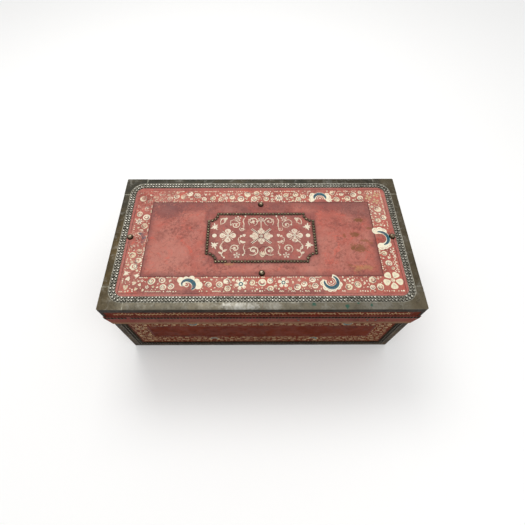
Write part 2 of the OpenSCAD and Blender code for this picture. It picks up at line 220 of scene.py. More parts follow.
# Base, pale, dark and bright tones
LID_TONES = (rgb(172, 94, 82), rgb(184, 122, 108), rgb(110, 60, 54), rgb(202, 92, 76))
# The sides' leather is the lid's own, darker and browner: painted shade on the upright faces.
SHADED_SIDE_TONES = (rgb(88, 31, 14), rgb(102, 43, 24), rgb(50, 18, 9), rgb(116, 40, 20))
FLAP_TONES = (rgb(112, 57, 50), rgb(122, 74, 64), rgb(78, 37, 30), rgb(134, 56, 54))

# Middle, half sizes and strength of the marks on the lid, in millimetres
SHADOWS = (
    (-285, 100, 50, 34, 0.6),
    (-230, 112, 70, 18, 0.4),
    (210, 116, 80, 22, 0.4),
    (290, 100, 44, 30, 0.45),
    (-60, 108, 110, 16, 0.4),
    (60, 110, 60, 14, 0.35),
    (-300, -150, 70, 30, 0.2),
    (40, -176, 150, 8, 0.5),
    (-240, -178, 90, 7, 0.45),
)
BROWN_STAINS = (
    (293, 60, 17, 7, 0.85),
    (275, 8, 13, 8, 0.8),
    (282, -41, 24, 12, 0.75),
    (243, 4, 4, 7, 0.6),
    (318, 30, 8, 4, 0.6),
    (300, -14, 14, 4, 0.6),
    (316, -22, 7, 4, 0.5),
    (245, -96, 6, 4, 0.5),
    (262, -34, 8, 12, 0.5),
)
PALE_STAINS = ((287, -104, 26, 7, 0.5), (-92, -92, 12, 4, 0.5), (266, -108, 10, 11, 0.4))


def lid_colour(g):
    """The lid's leather, with the stains and shadows that lie on it."""
    colour = leather_colour(g, *LID_TONES)
    haze = g.times(g.noise(34, 6, 0.7, 0.5), 26 * MM)
    field = g.inside(*FIELD)
    edge = g.span(g.plus(field, haze), 10 * MM, 34 * MM, 1.0, 0.0)
    edge = g.times(edge, g.span(field, -3 * MM, 0.0))
    colour = g.mix(edge, colour, rgb(106, 66, 64), 0.62)
    middle = g.span(g.plus(g.inside(CARTOUCHE[0] + 14, CARTOUCHE[1] + 14), haze), 8 * MM, 26 * MM)
    ground = g.times(middle, g.span(g.noise(28, 5, 0.65), 0.3, 0.6, 0.15, 0.5))
    colour = g.mix(ground, colour, rgb(112, 66, 66))
    # Darker ground along the cartouche's nailed outline.
    frame_side = g.near(g.inside(*CARTOUCHE), 0.0, 3 * MM, 6 * MM)
    corner = g.reach(*CARTOUCHE, rounded=False)
    frame_side = g.times(frame_side, g.span(corner, 20 * MM, CARTOUCHE_R * MM))
    bend = g.near(corner, CARTOUCHE_R * MM, 3 * MM, 6 * MM)
    bend = g.times(bend, g.span(g.inside(*CARTOUCHE), -4 * MM, 0.0))
    darkening = g.span(g.noise(50, 5, 0.7), 0.3, 0.6, 0.5, 0.95)
    colour = g.mix(g.times(g.most(frame_side, bend), darkening), colour, rgb(92, 58, 50))
    margin = g.span(g.inside(*BORDER), 0.0, -3 * MM)
    colour = g.mix(margin, colour, rgb(176, 112, 108), 0.35)
    for tone, ragged, spots in (
        (rgb(104, 66, 66), 0.7, SHADOWS),
        (rgb(116, 76, 44), 0.95, BROWN_STAINS),
        (rgb(172, 128, 84), 1.1, PALE_STAINS),
    ):
        for x, y, half_x, half_y, share in spots:
            colour = g.mix(g.spot(x, y, half_x, half_y, ragged), colour, tone, share)
    scratches = g.span(g.noise(55, 3, 0.5, 1.6, stretch=(1, 5, 1)), 0.69, 0.725)
    return g.mix(scratches, colour, rgb(88, 48, 44), 0.6)


def shaded_side_colour(g):
    return leather_colour(g, *SHADED_SIDE_TONES)


def leather_surface(g, shine, rough_low=0.5, rough_high=0.76, bump=1.0):
    """Grain, creases and uneven polish."""
    g.set("Roughness", g.span(g.noise(34, 5, 0.6), 0.35, 0.68, rough_low, rough_high))
    g.set("Specular IOR Level", shine)
    grain = g.bump(g.cells(720), 0.12 * MM, 0.5 * bump)
    crease = g.bump(g.noise(130, 6, 0.7, 0.5), 0.35 * MM, 0.55 * bump, grain)
    g.set("Normal", g.bump(g.noise(24, 4, 0.5), 0.9 * MM, 0.45 * bump, crease))


def leather_material(name, colour, shine):
    g = Graph(name)
    g.set("Base Color", colour(g))
    leather_surface(g, shine)
    return g.material


def flap_material():
    """Plain red leather, rubbed pale and frayed towards its lower edge."""
    g = Graph("flap_leather")
    colour = leather_colour(g, *FLAP_TONES)
    streaks = g.noise(60, 5, 0.7, stretch=(0.25, 1, 2.2))
    colour = g.mix(g.span(streaks, 0.5, 0.72, 0, 0.5), colour, rgb(134, 82, 70))
    low = g.plus(g.axis("Z"), g.times(g.noise(150, 6, 0.75), -16 * MM))
    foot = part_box("front_flap")[0].z
    edge = g.span(low, foot - 7 * MM, foot + 4 * MM, 1.0, 0.0)
    colour = g.mix(edge, colour, rgb(120, 98, 72), 0.72)
    spots = g.span(g.noise(190, 4, 0.7), 0.64, 0.70)
    colour = g.mix(g.times(spots, edge), colour, rgb(58, 42, 26), 0.8)
    g.set("Base Color", colour)
    leather_surface(g, 0.06, 0.55, 0.8, 1.2)
    return g.material


def paint_material(name, colour, second, under):
    """Paint on leather, thin in places, lost as the piece's own wear attribute says."""
    g = Graph(name)
    wear = g.attribute("wear")
    tone = g.mix(g.attribute("tint"), second, colour)
    dirt = g.span(g.noise(290, 5, 0.75), 0.5, 0.78, 0, 0.35)
    tone = g.mix(dirt, tone, rgb(128, 108, 86))
    ground = under(g)
    thin = g.times(g.span(g.noise(140, 5, 0.7), 0.42, 0.75), 0.35)
    thin = g.math("ADD", thin, g.times(wear, 0.3), clamp=True)
    tone = g.mix(thin, tone, ground)
    grain = g.times(g.noise(480, 4, 0.7), 0.55)
    patch = g.plus(grain, g.times(g.noise(85, 5, 0.65), 0.45))
    level = g.minus(0.70, g.times(wear, 0.38))
    lost = g.span(patch, level, g.plus(level, 0.06))
    g.set("Base Color", g.mix(lost, tone, ground))
    g.set("Roughness", g.span(lost, 0, 1, 0.52, 0.6))
    g.set("Specular IOR Level", 0.12)
    strokes = g.bump(g.noise(640, 3, 0.6), 0.1 * MM, 0.5)
    g.set("Normal", g.bump(lost, 0.15 * MM, -0.5, strokes))
    return g.material


def brass_colour(g, dull, warm, bright, wear_and_highlight, green):
    """Tarnish, patches of wear with any painted highlights given with them, scratches, pits and
    verdigris; returns colour and dirt.
    """
    colour = g.mix(g.span(g.noise(16, 6, 0.65, 0.5), 0.38, 0.64), dull, warm)
    smudge = g.span(g.noise(48, 6, 0.7, 0.4), 0.5, 0.7, 0, 0.45)
    colour = g.mix(smudge, colour, rgb(50, 44, 33))
    colour = g.mix(wear_and_highlight, colour, bright)
    pits = g.span(g.noise(230, 5, 0.8), 0.57, 0.69)
    colour = g.mix(pits, colour, rgb(44, 36, 24), 0.6)
    colour = g.mix(green, colour, rgb(38, 84, 72))
    return colour, g.most(green, g.times(pits, 0.6))


def brass_surface(g, dirt_and_shade, wear_and_highlight):
    g.set("Metallic", g.span(dirt_and_shade, 0, 1, 0.85, 0.0))
    g.set("Specular IOR Level", 0.08)
    rough = g.span(g.noise(120, 5, 0.7), 0.3, 0.7, 0.40, 0.60)
    g.set("Roughness", g.minus(rough, g.times(wear_and_highlight, 0.14)))
    dents = g.bump(g.noise(30, 3, 0.5), 1.2 * MM, 0.5)
    g.set("Normal", g.bump(g.noise(300, 5, 0.75), 0.12 * MM, 0.5, dents))


def scratched(g, amount):
    """Rubbed patches and long scratches, up to an amount."""
    wear_and_highlight = g.times(g.span(g.noise(42, 7, 0.72, 0.8), 0.5, 0.72), amount)
    scratch = g.span(g.noise(75, 3, 0.6, 2.2, stretch=(1, 7, 7)), 0.66, 0.70)
    return g.most(wear_and_highlight, g.times(scratch, 0.6 * amount))


def lid_brass():
    """Sheet brass of the lid: pale grey in front and dark olive behind as painted reflection, and brown
    in its folds as painted shade.
    """
    g = Graph("lid_sheet_brass")
    # Paler towards the front and darker behind: painted reflection.
    front = g.span(g.axis("Y"), -150 * MM, -195 * MM)
    dull = g.mix(front, rgb(58, 57, 50), rgb(104, 99, 86))
    warm = g.mix(front, rgb(72, 66, 53), rgb(116, 109, 93))
    ragged_x = g.plus(g.axis("X"), g.times(g.noise(22), 60 * MM))
    left = g.span(ragged_x, -330 * MM, -390 * MM)
    left = g.times(left, g.span(g.axis("Y"), 150 * MM, 20 * MM))
    dull = g.mix(left, dull, rgb(76, 64, 42), 0.7)
    warm = g.mix(left, warm, rgb(90, 75, 48), 0.7)
    right = g.span(g.axis("X"), 380 * MM, 396 * MM, 0.0, 0.75)
    dull = g.mix(right, dull, rgb(92, 82, 64))
    warm = g.mix(right, warm, rgb(104, 94, 76))
    wear_and_highlight = scratched(g, 0.4)
    # Light patches along the front strip: painted highlights, laid in with the wear.
    streaks = g.span(g.noise(70, 5, 0.7, 0.6, stretch=(1, 0.5, 1)), 0.35, 0.62, 0.2, 1.0)
    for x, half_x, share in ((-58, 52, 1.0), (24, 26, 0.6), (-150, 20, 0.3), (300, 40, 0.3)):
        patch = g.times(g.spot(x, -216, half_x, 16, 0.4), share)
        wear_and_highlight = g.most(wear_and_highlight, g.times(patch, streaks))
    green = 0.0
    for x, y, size in ((134, -213, 6), (221, -220, 6), (250, -210, 5), (284, -217, 4)):
        green = g.most(g.times(g.spot(x, y, size, size, 0.7), 0.85), green)
    colour, dirt_and_shade = brass_colour(g, dull, warm, rgb(158, 156, 148), wear_and_highlight, green)
    # Pale silver brass under the nail rows: painted glints between the heads.
    row = g.near(g.reach(*NAIL_ROW), NAIL_ROW_R * MM, NAIL_ROW_HALF * MM, 0.8 * MM)
    silver = g.mix(g.span(g.noise(80, 5, 0.7), 0.35, 0.65), rgb(120, 118, 107), rgb(166, 163, 152))
    colour = g.mix(row, colour, silver, 0.85)
    # Pale brass along the joins of the strips: painted highlight of their lifted ends.
    seam = g.most(g.near(g.size(g.axis("X")), SEAM_AT[0] * MM, 0.5 * MM, 1.4 * MM),
                  g.near(g.size(g.axis("Y")), SEAM_AT[1] * MM, 0.5 * MM, 1.4 * MM))
    seam = g.times(seam, g.span(g.noise(110, 4, 0.7), 0.4, 0.6, 0.1, 0.75))
    colour = g.mix(seam, colour, rgb(178, 176, 160))
    # Below the fold the brass is dark brown and not metallic: painted shade.
    fold = g.span(g.axis("Z"), lid_top - FOLD * MM, lid_top - (FOLD + 1) * MM)
    darkening = g.mix(g.span(g.noise(40, 6, 0.7), 0.4, 0.7), rgb(28, 18, 8), rgb(44, 31, 15))
    colour = g.mix(fold, colour, darkening)
    dirt_and_shade = g.most(dirt_and_shade, fold)
    g.set("Base Color", colour)
    brass_surface(g, dirt_and_shade, wear_and_highlight)
    return g.material


def bead_brass():
    g = Graph("rubbed_and_highlit_brass")
    # Paler than the brass round it: wear on the raised line and a painted highlight.
    tones = (rgb(132, 129, 117), rgb(150, 145, 130), rgb(206, 203, 190))
    colour, dirt_and_shade = brass_colour(g, *tones, scratched(g, 0.7), 0.0)
    g.set("Base Color", colour)
    brass_surface(g, dirt_and_shade, 0.5)
    return g.material


def body_brass():
    g = Graph("body_sheet_brass")
    wear_and_highlight = scratched(g, 0.3)
    green = g.times(g.span(g.noise(58, 4, 0.6, 0.3), 0.69, 0.735), 0.4)
    # Dark, hardly metallic brass on the body's upright faces: real tarnish with painted shade.
    tones = (rgb(40, 29, 14), rgb(66, 50, 28), rgb(102, 87, 58))
    colour, dirt_and_shade = brass_colour(g, *tones, wear_and_highlight, green)
    dirt_and_shade = g.most(dirt_and_shade, 0.9)
    g.set("Base Color", colour)
    brass_surface(g, dirt_and_shade, wear_and_highlight)
    return g.material


def nail_material(name, low, high, worn_and_highlit, shine=0.6):
    """Domed heads, dark round the rim and pale on the crown with wear and a painted highlight, each a
    little different.
    """
    g = Graph(name)
    crown = g.attribute("crown")
    body = g.mix(g.attribute("tint"), low, high)
    body = g.mix(g.span(crown, 0.2, 0.95), rgb(30, 26, 18), body)
    # Pale crowns: wear and a painted highlight, as strong as shine.
    wear_and_highlight = g.times(g.span(g.noise(170, 5, 0.7), 0.4, 0.6), g.span(crown, 0.72, 0.98))
    g.set("Base Color", g.mix(g.times(wear_and_highlight, shine), body, worn_and_highlit))
    g.set("Metallic", 0.9)
    g.set("Roughness", g.span(g.noise(330, 4, 0.7), 0.3, 0.7, 0.24, 0.42))
    g.set("Normal", g.bump(g.noise(420, 4, 0.7), 0.1 * MM, 0.5))
    return g.material


def cast_material():
    g = Graph("cast_brass")
    colour = g.mix(g.span(g.noise(60, 6, 0.65), 0.35, 0.68), rgb(66, 58, 40), rgb(108, 95, 68))
    pits = g.span(g.noise(380, 5, 0.75), 0.55, 0.68, 0, 0.8)
    g.set("Base Color", g.mix(pits, colour, rgb(44, 36, 20)))
    g.set("Metallic", 0.9)
    g.set("Roughness", g.span(g.noise(200, 5, 0.7), 0.3, 0.7, 0.24, 0.46))
    g.set("Normal", g.bump(g.noise(340, 5, 0.75), 0.12 * MM, 0.5))
    return g.material


def iron_material():
    g = Graph("lock_iron")
    rust = g.span(g.noise(90, 6, 0.7, 0.3), 0.5, 0.68, 0, 0.7)
    g.set("Base Color", g.mix(rust, rgb(84, 82, 78), rgb(96, 54, 30)))
    g.set("Metallic", g.span(rust, 0, 1, 0.9, 0.2))
    g.set("Roughness", g.span(rust, 0, 1, 0.42, 0.8))
    g.set("Normal", g.bump(g.noise(420, 5, 0.7), 0.12 * MM, 0.6))
    return g.material


def wood_material(name, stretch):
    """Camphorwood: long grain along the axis that stretch makes short, with soft figure."""
    g = Graph(name)
    figure = g.noise(9, 5, 0.6, 1.4, stretch=stretch)
    rings = g.math("FRACT", g.times(figure, 11))
    rings = g.size(g.minus(rings, 0.5))
    colour = g.mix(g.span(figure, 0.35, 0.68), rgb(150, 100, 60), rgb(186, 140, 92))
    colour = g.mix(g.span(rings, 0.28, 0.5, 0, 0.4), colour, rgb(112, 68, 38))
    pores = g.span(g.noise(420, 3, 0.6, stretch=stretch), 0.58, 0.66, 0, 0.55)
    colour = g.mix(pores, colour, rgb(86, 52, 30))
    stain = g.span(g.noise(5, 5, 0.6, 0.5), 0.55, 0.75, 0, 0.35)
    g.set("Base Color", g.mix(stain, colour, rgb(98, 66, 42)))
    g.set("Roughness", g.span(figure, 0.3, 0.7, 0.5, 0.68))
    fibre = g.bump(g.noise(420, 3, 0.6, stretch=stretch), 0.2 * MM, 0.5)
    g.set("Normal", g.bump(rings, 0.25 * MM, 0.3, fibre))
    return g.material


def floor_material():
    g = Graph("floor")
    g.set("Base Color", (0.97, 0.97, 0.965, 1))
    g.set("Roughness", g.span(g.noise(3), 0.3, 0.7, 0.7, 0.8))
    g.set("Specular IOR Level", 0.2)
    return g.material


# Two tones of each pot of paint, and those that differ on the cartouche and on the sides, darker there as
# painted shade
TONES = {
    "cream": (rgb(238, 233, 208), rgb(206, 188, 136)),
    "blue": (rgb(84, 138, 142), rgb(22, 82, 98)),
    "grey": (rgb(104, 112, 108), rgb(56, 72, 78)),
    "line": (rgb(96, 56, 52), rgb(58, 40, 38)),
    "gap": (rgb(170, 92, 82), rgb(170, 92, 82)),
}
FADED = {"cream": (rgb(230, 220, 198), rgb(208, 192, 158))}
# Paint on the upright faces: darker, as painted shade, and yellower.
SHADED_SIDE_PAINT = {
    "cream": (rgb(174, 146, 106), rgb(138, 99, 58)),
    "grey": (rgb(84, 76, 62), rgb(84, 76, 62)),
    "gap": (rgb(104, 48, 32), rgb(104, 48, 32)),
}

lid_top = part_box("lid_strip_front")[1].z
stuff = {
    "lid_leather": leather_material("lid_leather", lid_colour, 0.2),
    "side_leather": leather_material("side_leather", shaded_side_colour, 0.05),
    "flap": flap_material(),
    "lid_brass": lid_brass(),
    "bead": bead_brass(),
    "body_brass": body_brass(),
    "nails": nail_material("nail_brass", rgb(70, 66, 56), rgb(100, 95, 82), rgb(214, 210, 198), 0.9),
    "dull_nails": nail_material("dull_nail_brass", rgb(58, 53, 40), rgb(84, 77, 60), rgb(160, 150, 118)),
    # Darker heads on the upright faces: painted shade.
    "dark_nails": nail_material("dark_nail_brass", rgb(36, 28, 18), rgb(54, 44, 30), rgb(92, 80, 58)),
    "bosses": nail_material("boss_brass", rgb(84, 70, 52), rgb(100, 86, 66), rgb(190, 176, 152)),
    "cast": cast_material(),
    "iron": iron_material(),
    "wood_x": wood_material("camphorwood_along_x", (0.12, 1, 1)),
    "wood_y": wood_material("camphorwood_along_y", (1, 0.12, 1)),
}


# ---- Making pieces ----


def add_object(name, data):
    made = bpy.data.objects.new(name, data)
    bpy.context.scene.collection.objects.link(made)
    return made


def piece(name, verts, faces, material, body, slot, stands_for=(), smooth=True, **attributes):
    """A closed mesh in the frame's own place, riding on a CAD body."""
    mesh = bpy.data.meshes.new(name)
    mesh.from_pydata([tuple(v) for v in verts], [], faces)
    for key, values in attributes.items():
        layer = mesh.attributes.new(key, "FLOAT", "POINT")
        layer.data.foreach_set("value", np.asarray(values, np.float32))
    shape = bmesh.new()
    shape.from_mesh(mesh)
    bmesh.ops.recalc_face_normals(shape, faces=shape.faces)
    shape.to_mesh(mesh)
    shape.free()
    if smooth:
        mesh.shade_smooth()
        mesh.set_sharp_from_angle(angle=math.radians(40))
    made = add_object(name, mesh)
    mesh.materials.append(material)
    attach(made, body)
    if stands_for:
        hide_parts(*stands_for)


def lathe(profile, sides):
    """A turned shape about +Z from (radius, height) points, foot first and apex last."""
    verts = []
    for r, z in profile[:-1]:
        for i in range(sides):
            a = 2 * math.pi * i / sides
            verts.append((r * math.cos(a), r * math.sin(a), z))
    verts.append((0, 0, profile[-1][1]))
    faces = [tuple(reversed(range(sides)))] + loft_faces(sides, len(profile) - 1)
    last = (len(profile) - 2) * sides
    for i in range(sides):
        faces.append((last + i, last + (i + 1) % sides, len(verts) - 1))
    return np.array(verts), faces


def grid_faces(width, height, start=0):
    """Quads of a grid of vertices, row by row."""
    return [
        (a, a + 1, a + width + 1, a + width)
        for j in range(height - 1)
        for a in range(start + j * width, start + j * width + width - 1)
    ]


def grid_rim(width, height):
    """The vertices round a grid, in order."""
    rim = list(range(width))
    rim += [j * width + width - 1 for j in range(1, height)]
    rim += [(height - 1) * width + i for i in range(width - 2, -1, -1)]
    return rim + [j * width for j in range(height - 2, 0, -1)]


def loft_faces(n, sections, closed=False):
    """Quads between sections of n vertices each."""
    return [
        (k * n + j, k * n + (j + 1) % n, (k + 1) % sections * n + (j + 1) % n, (k + 1) % sections * n + j)
        for k in range(sections if closed else sections - 1)
        for j in range(n)
    ]


def turn_to(out):
    """Rotation that takes +Z to out."""
    return np.array(Vector(out).to_track_quat("Z", "Y").to_matrix())


def stamp(name, shape, places, material, body, slot, stands_for, seed, loose=1.0):
    """Copies of one shape at (point, outward direction) places, each a little different."""
    rng = random.Random(seed)
    base, base_faces = shape
    height = base[:, 2].max()
    verts, faces, tint, crown = [], [], [], []
    for point, out in places:
        sway = [rng.gauss(0, 0.03 * loose) for _ in range(3)]
        spin = turn_to((Vector(out) + Vector(sway)).normalized())
        size = 1 + rng.uniform(-0.04, 0.04) * loose
        shift = [rng.uniform(-0.18, 0.18) * MM * loose for _ in range(3)]
        lift = np.array(point) + np.array(shift) * (1 - np.abs(np.array(out)))
        start = len(verts) * len(base)
        verts.append(base * size @ spin.T + lift)
        faces.extend(tuple(start + i for i in face) for face in base_faces)
        tint.extend([rng.random()] * len(base))
        crown.extend(base[:, 2] / height)
    piece(name, np.vstack(verts), faces, material, body, slot, stands_for, tint=tint, crown=crown)


def loose_parts(node):
    """The vertices of each separate solid of a CAD node."""
    mesh = nodes[node].data
    points = np.zeros(len(mesh.vertices) * 3)
    mesh.vertices.foreach_get("co", points)
    points = points.reshape(-1, 3)
    _, same = np.unique(np.round(points, 6), axis=0, return_inverse=True)
    same = same.ravel()
    edges = np.zeros(len(mesh.edges) * 2, int)
    mesh.edges.foreach_get("vertices", edges)
    ends = same[edges.reshape(-1, 2)]
    group = np.arange(same.max() + 1)
    while True:
        low = np.minimum(group[ends[:, 0]], group[ends[:, 1]])
        fresh = group.copy()
        np.minimum.at(fresh, ends[:, 0], low)
        np.minimum.at(fresh, ends[:, 1], low)
        if (fresh == group).all():
            break
        group = fresh
    owner = group[same]
    order = np.argsort(owner, kind="stable")
    cuts = np.flatnonzero(np.diff(owner[order])) + 1
    return [points[part] for part in np.split(order, cuts)]


def head_places(node):
    """(middle of the foot, outward direction) of each nail head in a CAD node."""
    places = []
    for part in loose_parts(node):
        low, high = part.min(0), part.max(0)
        thin = int(np.argmin(high - low))
        middle = (low + high) / 2
        side = 1 if middle[thin] > 0 else -1
        out = np.zeros(3)
        out[thin] = side
        middle[thin] = low[thin] if side > 0 else high[thin]
        places.append((middle, out))
    return places


def swell(u, v, amount):
    """Gentle unevenness of leather at a place on a face."""
    broad = noise.noise(Vector((u * 13, v * 13, 3.1)))
    return amount * (broad + 0.4 * noise.noise(Vector((u * 45, v * 45, 8.4))))


class Surface:
    """A flat face of the chest: u to the right of someone facing it, v up, and its swell."""

    def __init__(self, origin, u, v, body, amount):
        self.origin, self.u, self.v = Vector(origin), Vector(u), Vector(v)
        self.out = self.u.cross(self.v)
        self.body = body
        self.amount = amount

    def at(self, u, v, lift):
        """A point from u, v in metres and a lift off the face."""
        rise = lift + swell(u, v, self.amount)
        return self.origin + self.u * u + self.v * v + self.out * rise


def outer_face(node, u, v, body, amount):
    """The surface on the outside of a CAD node's box."""
    low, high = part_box(node)
    out = Vector(u).cross(Vector(v))
    corner = Vector(high[i] if out[i] > 0 else low[i] for i in range(3))
    origin = Vector(corner[i] * abs(out[i]) for i in range(3))
    return Surface(origin, u, v, body, amount)


def panel(node, surface, look):
    """Leather in place of a CAD node: an uneven outer face on a flat back."""
    step = 9 * MM
    low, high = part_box(node)
    spans = []
    for axis in (surface.u, surface.v):
        ends = sorted((low.dot(axis), high.dot(axis)))
        count = max(2, round((ends[1] - ends[0]) / step))
        spans.append(np.linspace(ends[0], ends[1], count + 1))
    us, vs = spans
    thick = abs((high - low).dot(surface.out))
    verts = [surface.at(u, v, 0) for v in vs for u in us]
    faces = grid_faces(len(us), len(vs))
    rim = grid_rim(len(us), len(vs))
    start = len(verts)
    for index in rim:
        point = verts[index]
        rise = (point - surface.origin).dot(surface.out)
        verts.append(point - surface.out * (rise + thick))
    for k, index in enumerate(rim):
        after = (k + 1) % len(rim)
        faces.append((index, rim[after], start + after, start + k))
    faces.append(tuple(range(len(verts) - 1, start - 1, -1)))
    piece(node + "_skin", verts, faces, stuff[look], surface.body, look, (node,))


SWELL = 0.22 * MM
lid_face = outer_face("lid_top_leather", X, Y, "lid", SWELL)
lid_front = outer_face("lid_front_leather", X, Z, "lid", SWELL)
lid_back = outer_face("lid_back_leather", -X, Z, "lid", SWELL)
lid_right = outer_face("lid_right_leather", Y, Z, "lid", SWELL)
lid_left = outer_face("lid_left_leather", -Y, Z, "lid", SWELL)
body_front = outer_face("front_leather", X, Z, "chest", 0)
body_back = outer_face("back_leather", -X, Z, "chest", SWELL)
body_right = outer_face("right_end_leather", Y, Z, "chest", SWELL)
body_left = outer_face("left_end_leather", -Y, Z, "chest", SWELL)

panel("lid_top_leather", lid_face, "lid_leather")
for node, face in (
    ("lid_front_leather", lid_front),
    ("lid_back_leather", lid_back),
    ("lid_right_leather", lid_right),
    ("lid_left_leather", lid_left),
    ("back_leather", body_back),
    ("right_end_leather", body_right),
    ("left_end_leather", body_left),
):
    panel(node, face, "side_leather")


# ---- Nails and bosses ----


def dome(r, h, rings):
    """Profile of a domed head with a short upright rim."""
    rim = 0.18 * h
    points = [(r * 0.96, 0.0), (r, rim)]
    for i in range(1, rings + 1):
        a = math.pi / 2 * i / rings
        points.append((r * math.cos(a) ** 0.9, rim + (h - rim) * math.sin(a)))
    return points


def without_nearest(places, point):
    """The places without the one nail that the chest has lost near a point."""
    lost = min(range(len(places)), key=lambda i: (Vector(places[i][0]) - Vector(point)).length)
    return places[:lost] + places[lost + 1:]


nail_low, nail_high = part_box("lid_top_nails")
NAIL_H = nail_high.z - nail_low.z
NAIL_R = 4.2 * MM
nail_shape = lathe(dome(NAIL_R, NAIL_H, 5), 14)
lost_front = (-364 * MM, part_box("rim_nails")[0].y, 270 * MM)
lost_cartouche = (-95 * MM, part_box("cartouche_nails")[0].y + NAIL_R, nail_low.z)
for seed, (node, body, heads, gap) in enumerate((
    ("lid_top_nails", "lid", "nails", None),
    ("cartouche_nails", "lid", "dull_nails", lost_cartouche),
    ("rim_nails", "lid", "dark_nails", lost_front),
    ("body_nails", "chest", "dark_nails", None),
)):
    spots = head_places(node)
    if gap:
        spots = without_nearest(spots, gap)
    stamp(node + "_domed", nail_shape, spots, stuff[heads], body, "brass_nails", (node,), seed)


def boss_profile(r, h):
    """A thin round foot with a groove above it, and a high dome."""
    points = [(r, 0.0), (r, 0.09 * h), (0.97 * r, 0.14 * h), (0.92 * r, 0.15 * h)]
    for i in range(11):
        a = math.pi / 2 * i / 10
        points.append((0.94 * r * math.cos(a) ** 0.85, (0.2 + 0.8 * math.sin(a)) * h))
    return points


boss_low, boss_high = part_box("lid_bosses")
boss_parts = loose_parts("lid_bosses")
boss_r = (boss_parts[0].max(0) - boss_parts[0].min(0))[0] / 2
boss_spots = [((*((p.min(0) + p.max(0)) / 2)[:2], boss_low.z), (0, 0, 1)) for p in boss_parts]
boss_shape = lathe(boss_profile(boss_r, boss_high.z - boss_low.z), 40)
stamp("lid_bosses_turned", boss_shape, boss_spots, stuff["bosses"], "lid", "cast_brass",
      ("lid_bosses",), 11, 0.3)


# ---- Brass strips of the lid ----


def folded_strip(name, node, along, out, start, end):
    """Thin brass folded over an edge, with a soft fold, wavy borders and slight dents."""
    low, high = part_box(node)
    edge_out = max(low.dot(out), high.dot(out))
    top = high.z
    wide = abs((high - low).dot(out))
    drop = high.z - low.z
    thick = top - lid_face.origin.z
    fold = FOLD * MM
    outer = [(-wide, 0), (-0.66 * wide, 0), (-0.33 * wide, 0), (-fold, 0)]
    for i in range(1, 5):
        a = math.pi / 2 * i / 4
        outer.append((-fold + fold * math.sin(a), -fold + fold * math.cos(a)))
    outer += [(0, -0.5 * drop), (0, -drop)]
    inner = [(-thick, -drop), (-thick, -thick), (-wide, -thick)]
    loop = outer + inner
    stations = max(3, round((end - start) / (6 * MM)))
    verts = []
    for s in range(stations + 1):
        t = start + (end - start) * s / stations
        for k, (o, z) in enumerate(loop):
            wave = noise.noise(Vector((t * 38, k * 0.35, 5.7)))
            border = k in (0, len(loop) - 1, len(outer) - 1, len(outer))
            slide = 0.45 * MM * noise.noise(Vector((t * 60, 9.2 if z < -thick * 2 else 2.4, 1.1)))
            up = 0.16 * MM * wave if k < 4 else 0
            side = 0.16 * MM * wave if 8 <= k < len(outer) else 0
            if border and z > -2 * thick:
                o += slide
            if border and z <= -2 * thick:
                z += slide
            verts.append(Vector(along) * t + Vector(out) * (edge_out + o + side) + Z * (top + z + up))
    n = len(loop)
    faces = [tuple(range(n)), tuple(range(stations * n, (stations + 1) * n))]
    faces += loft_faces(n, stations + 1)
    piece(name, verts, faces, stuff["lid_brass"], "lid", "tarnished_sheet_brass", (node,))


SEAM = 0.25 * MM
front_low, front_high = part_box("lid_strip_front")
folded_strip("lid_strip_front_left_half", "lid_strip_front", X, -Y, front_low.x + SEAM, -SEAM)
folded_strip("lid_strip_front_right_half", "lid_strip_front", X, -Y, SEAM, front_high.x - SEAM)
for node, along, out in (
    ("lid_strip_back", X, Y),
    ("lid_strip_left", Y, -X),
    ("lid_strip_right", Y, X),
):
    low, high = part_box(node)
    folded_strip(node + "_folded", node, along, out, low.dot(along) + SEAM, high.dot(along) - SEAM)


def bead(name, inset, corner_r):
    """A raised line, pressed in the lid's brass along its double row of nails."""
    half_x, half_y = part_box("lid_corner_front_right")[1].x, -front_low.y
    across, up = half_x - inset * MM - corner_r * MM, half_y - inset * MM - corner_r * MM
    path = []
    for turn, (cx, cy) in enumerate(((across, up), (-across, up), (-across, -up), (across, -up))):
        for i in range(9):
            path.append(((cx, cy), unit(90 * turn + 90 * i / 8)))
    profile = [(-0.8, -0.3), (0.8, -0.3), (0.8, 0.05), (0.3, 0.4), (-0.3, 0.4), (-0.8, 0.05)]
    verts = []
    for (cx, cy), (c, s) in path:
        for side, lift in profile:
            r = (corner_r + side) * MM
            verts.append((cx + r * c, cy + r * s, lid_top + lift * MM))
    faces = loft_faces(len(profile), len(path), closed=True)
    piece(name, verts, faces, stuff["bead"], "lid", "tarnished_sheet_brass")


bead("lid_bead_outer", 19.7, 41.3)
bead("lid_bead_inner", 37.2, 23.8)


# ---- Dust flap ----


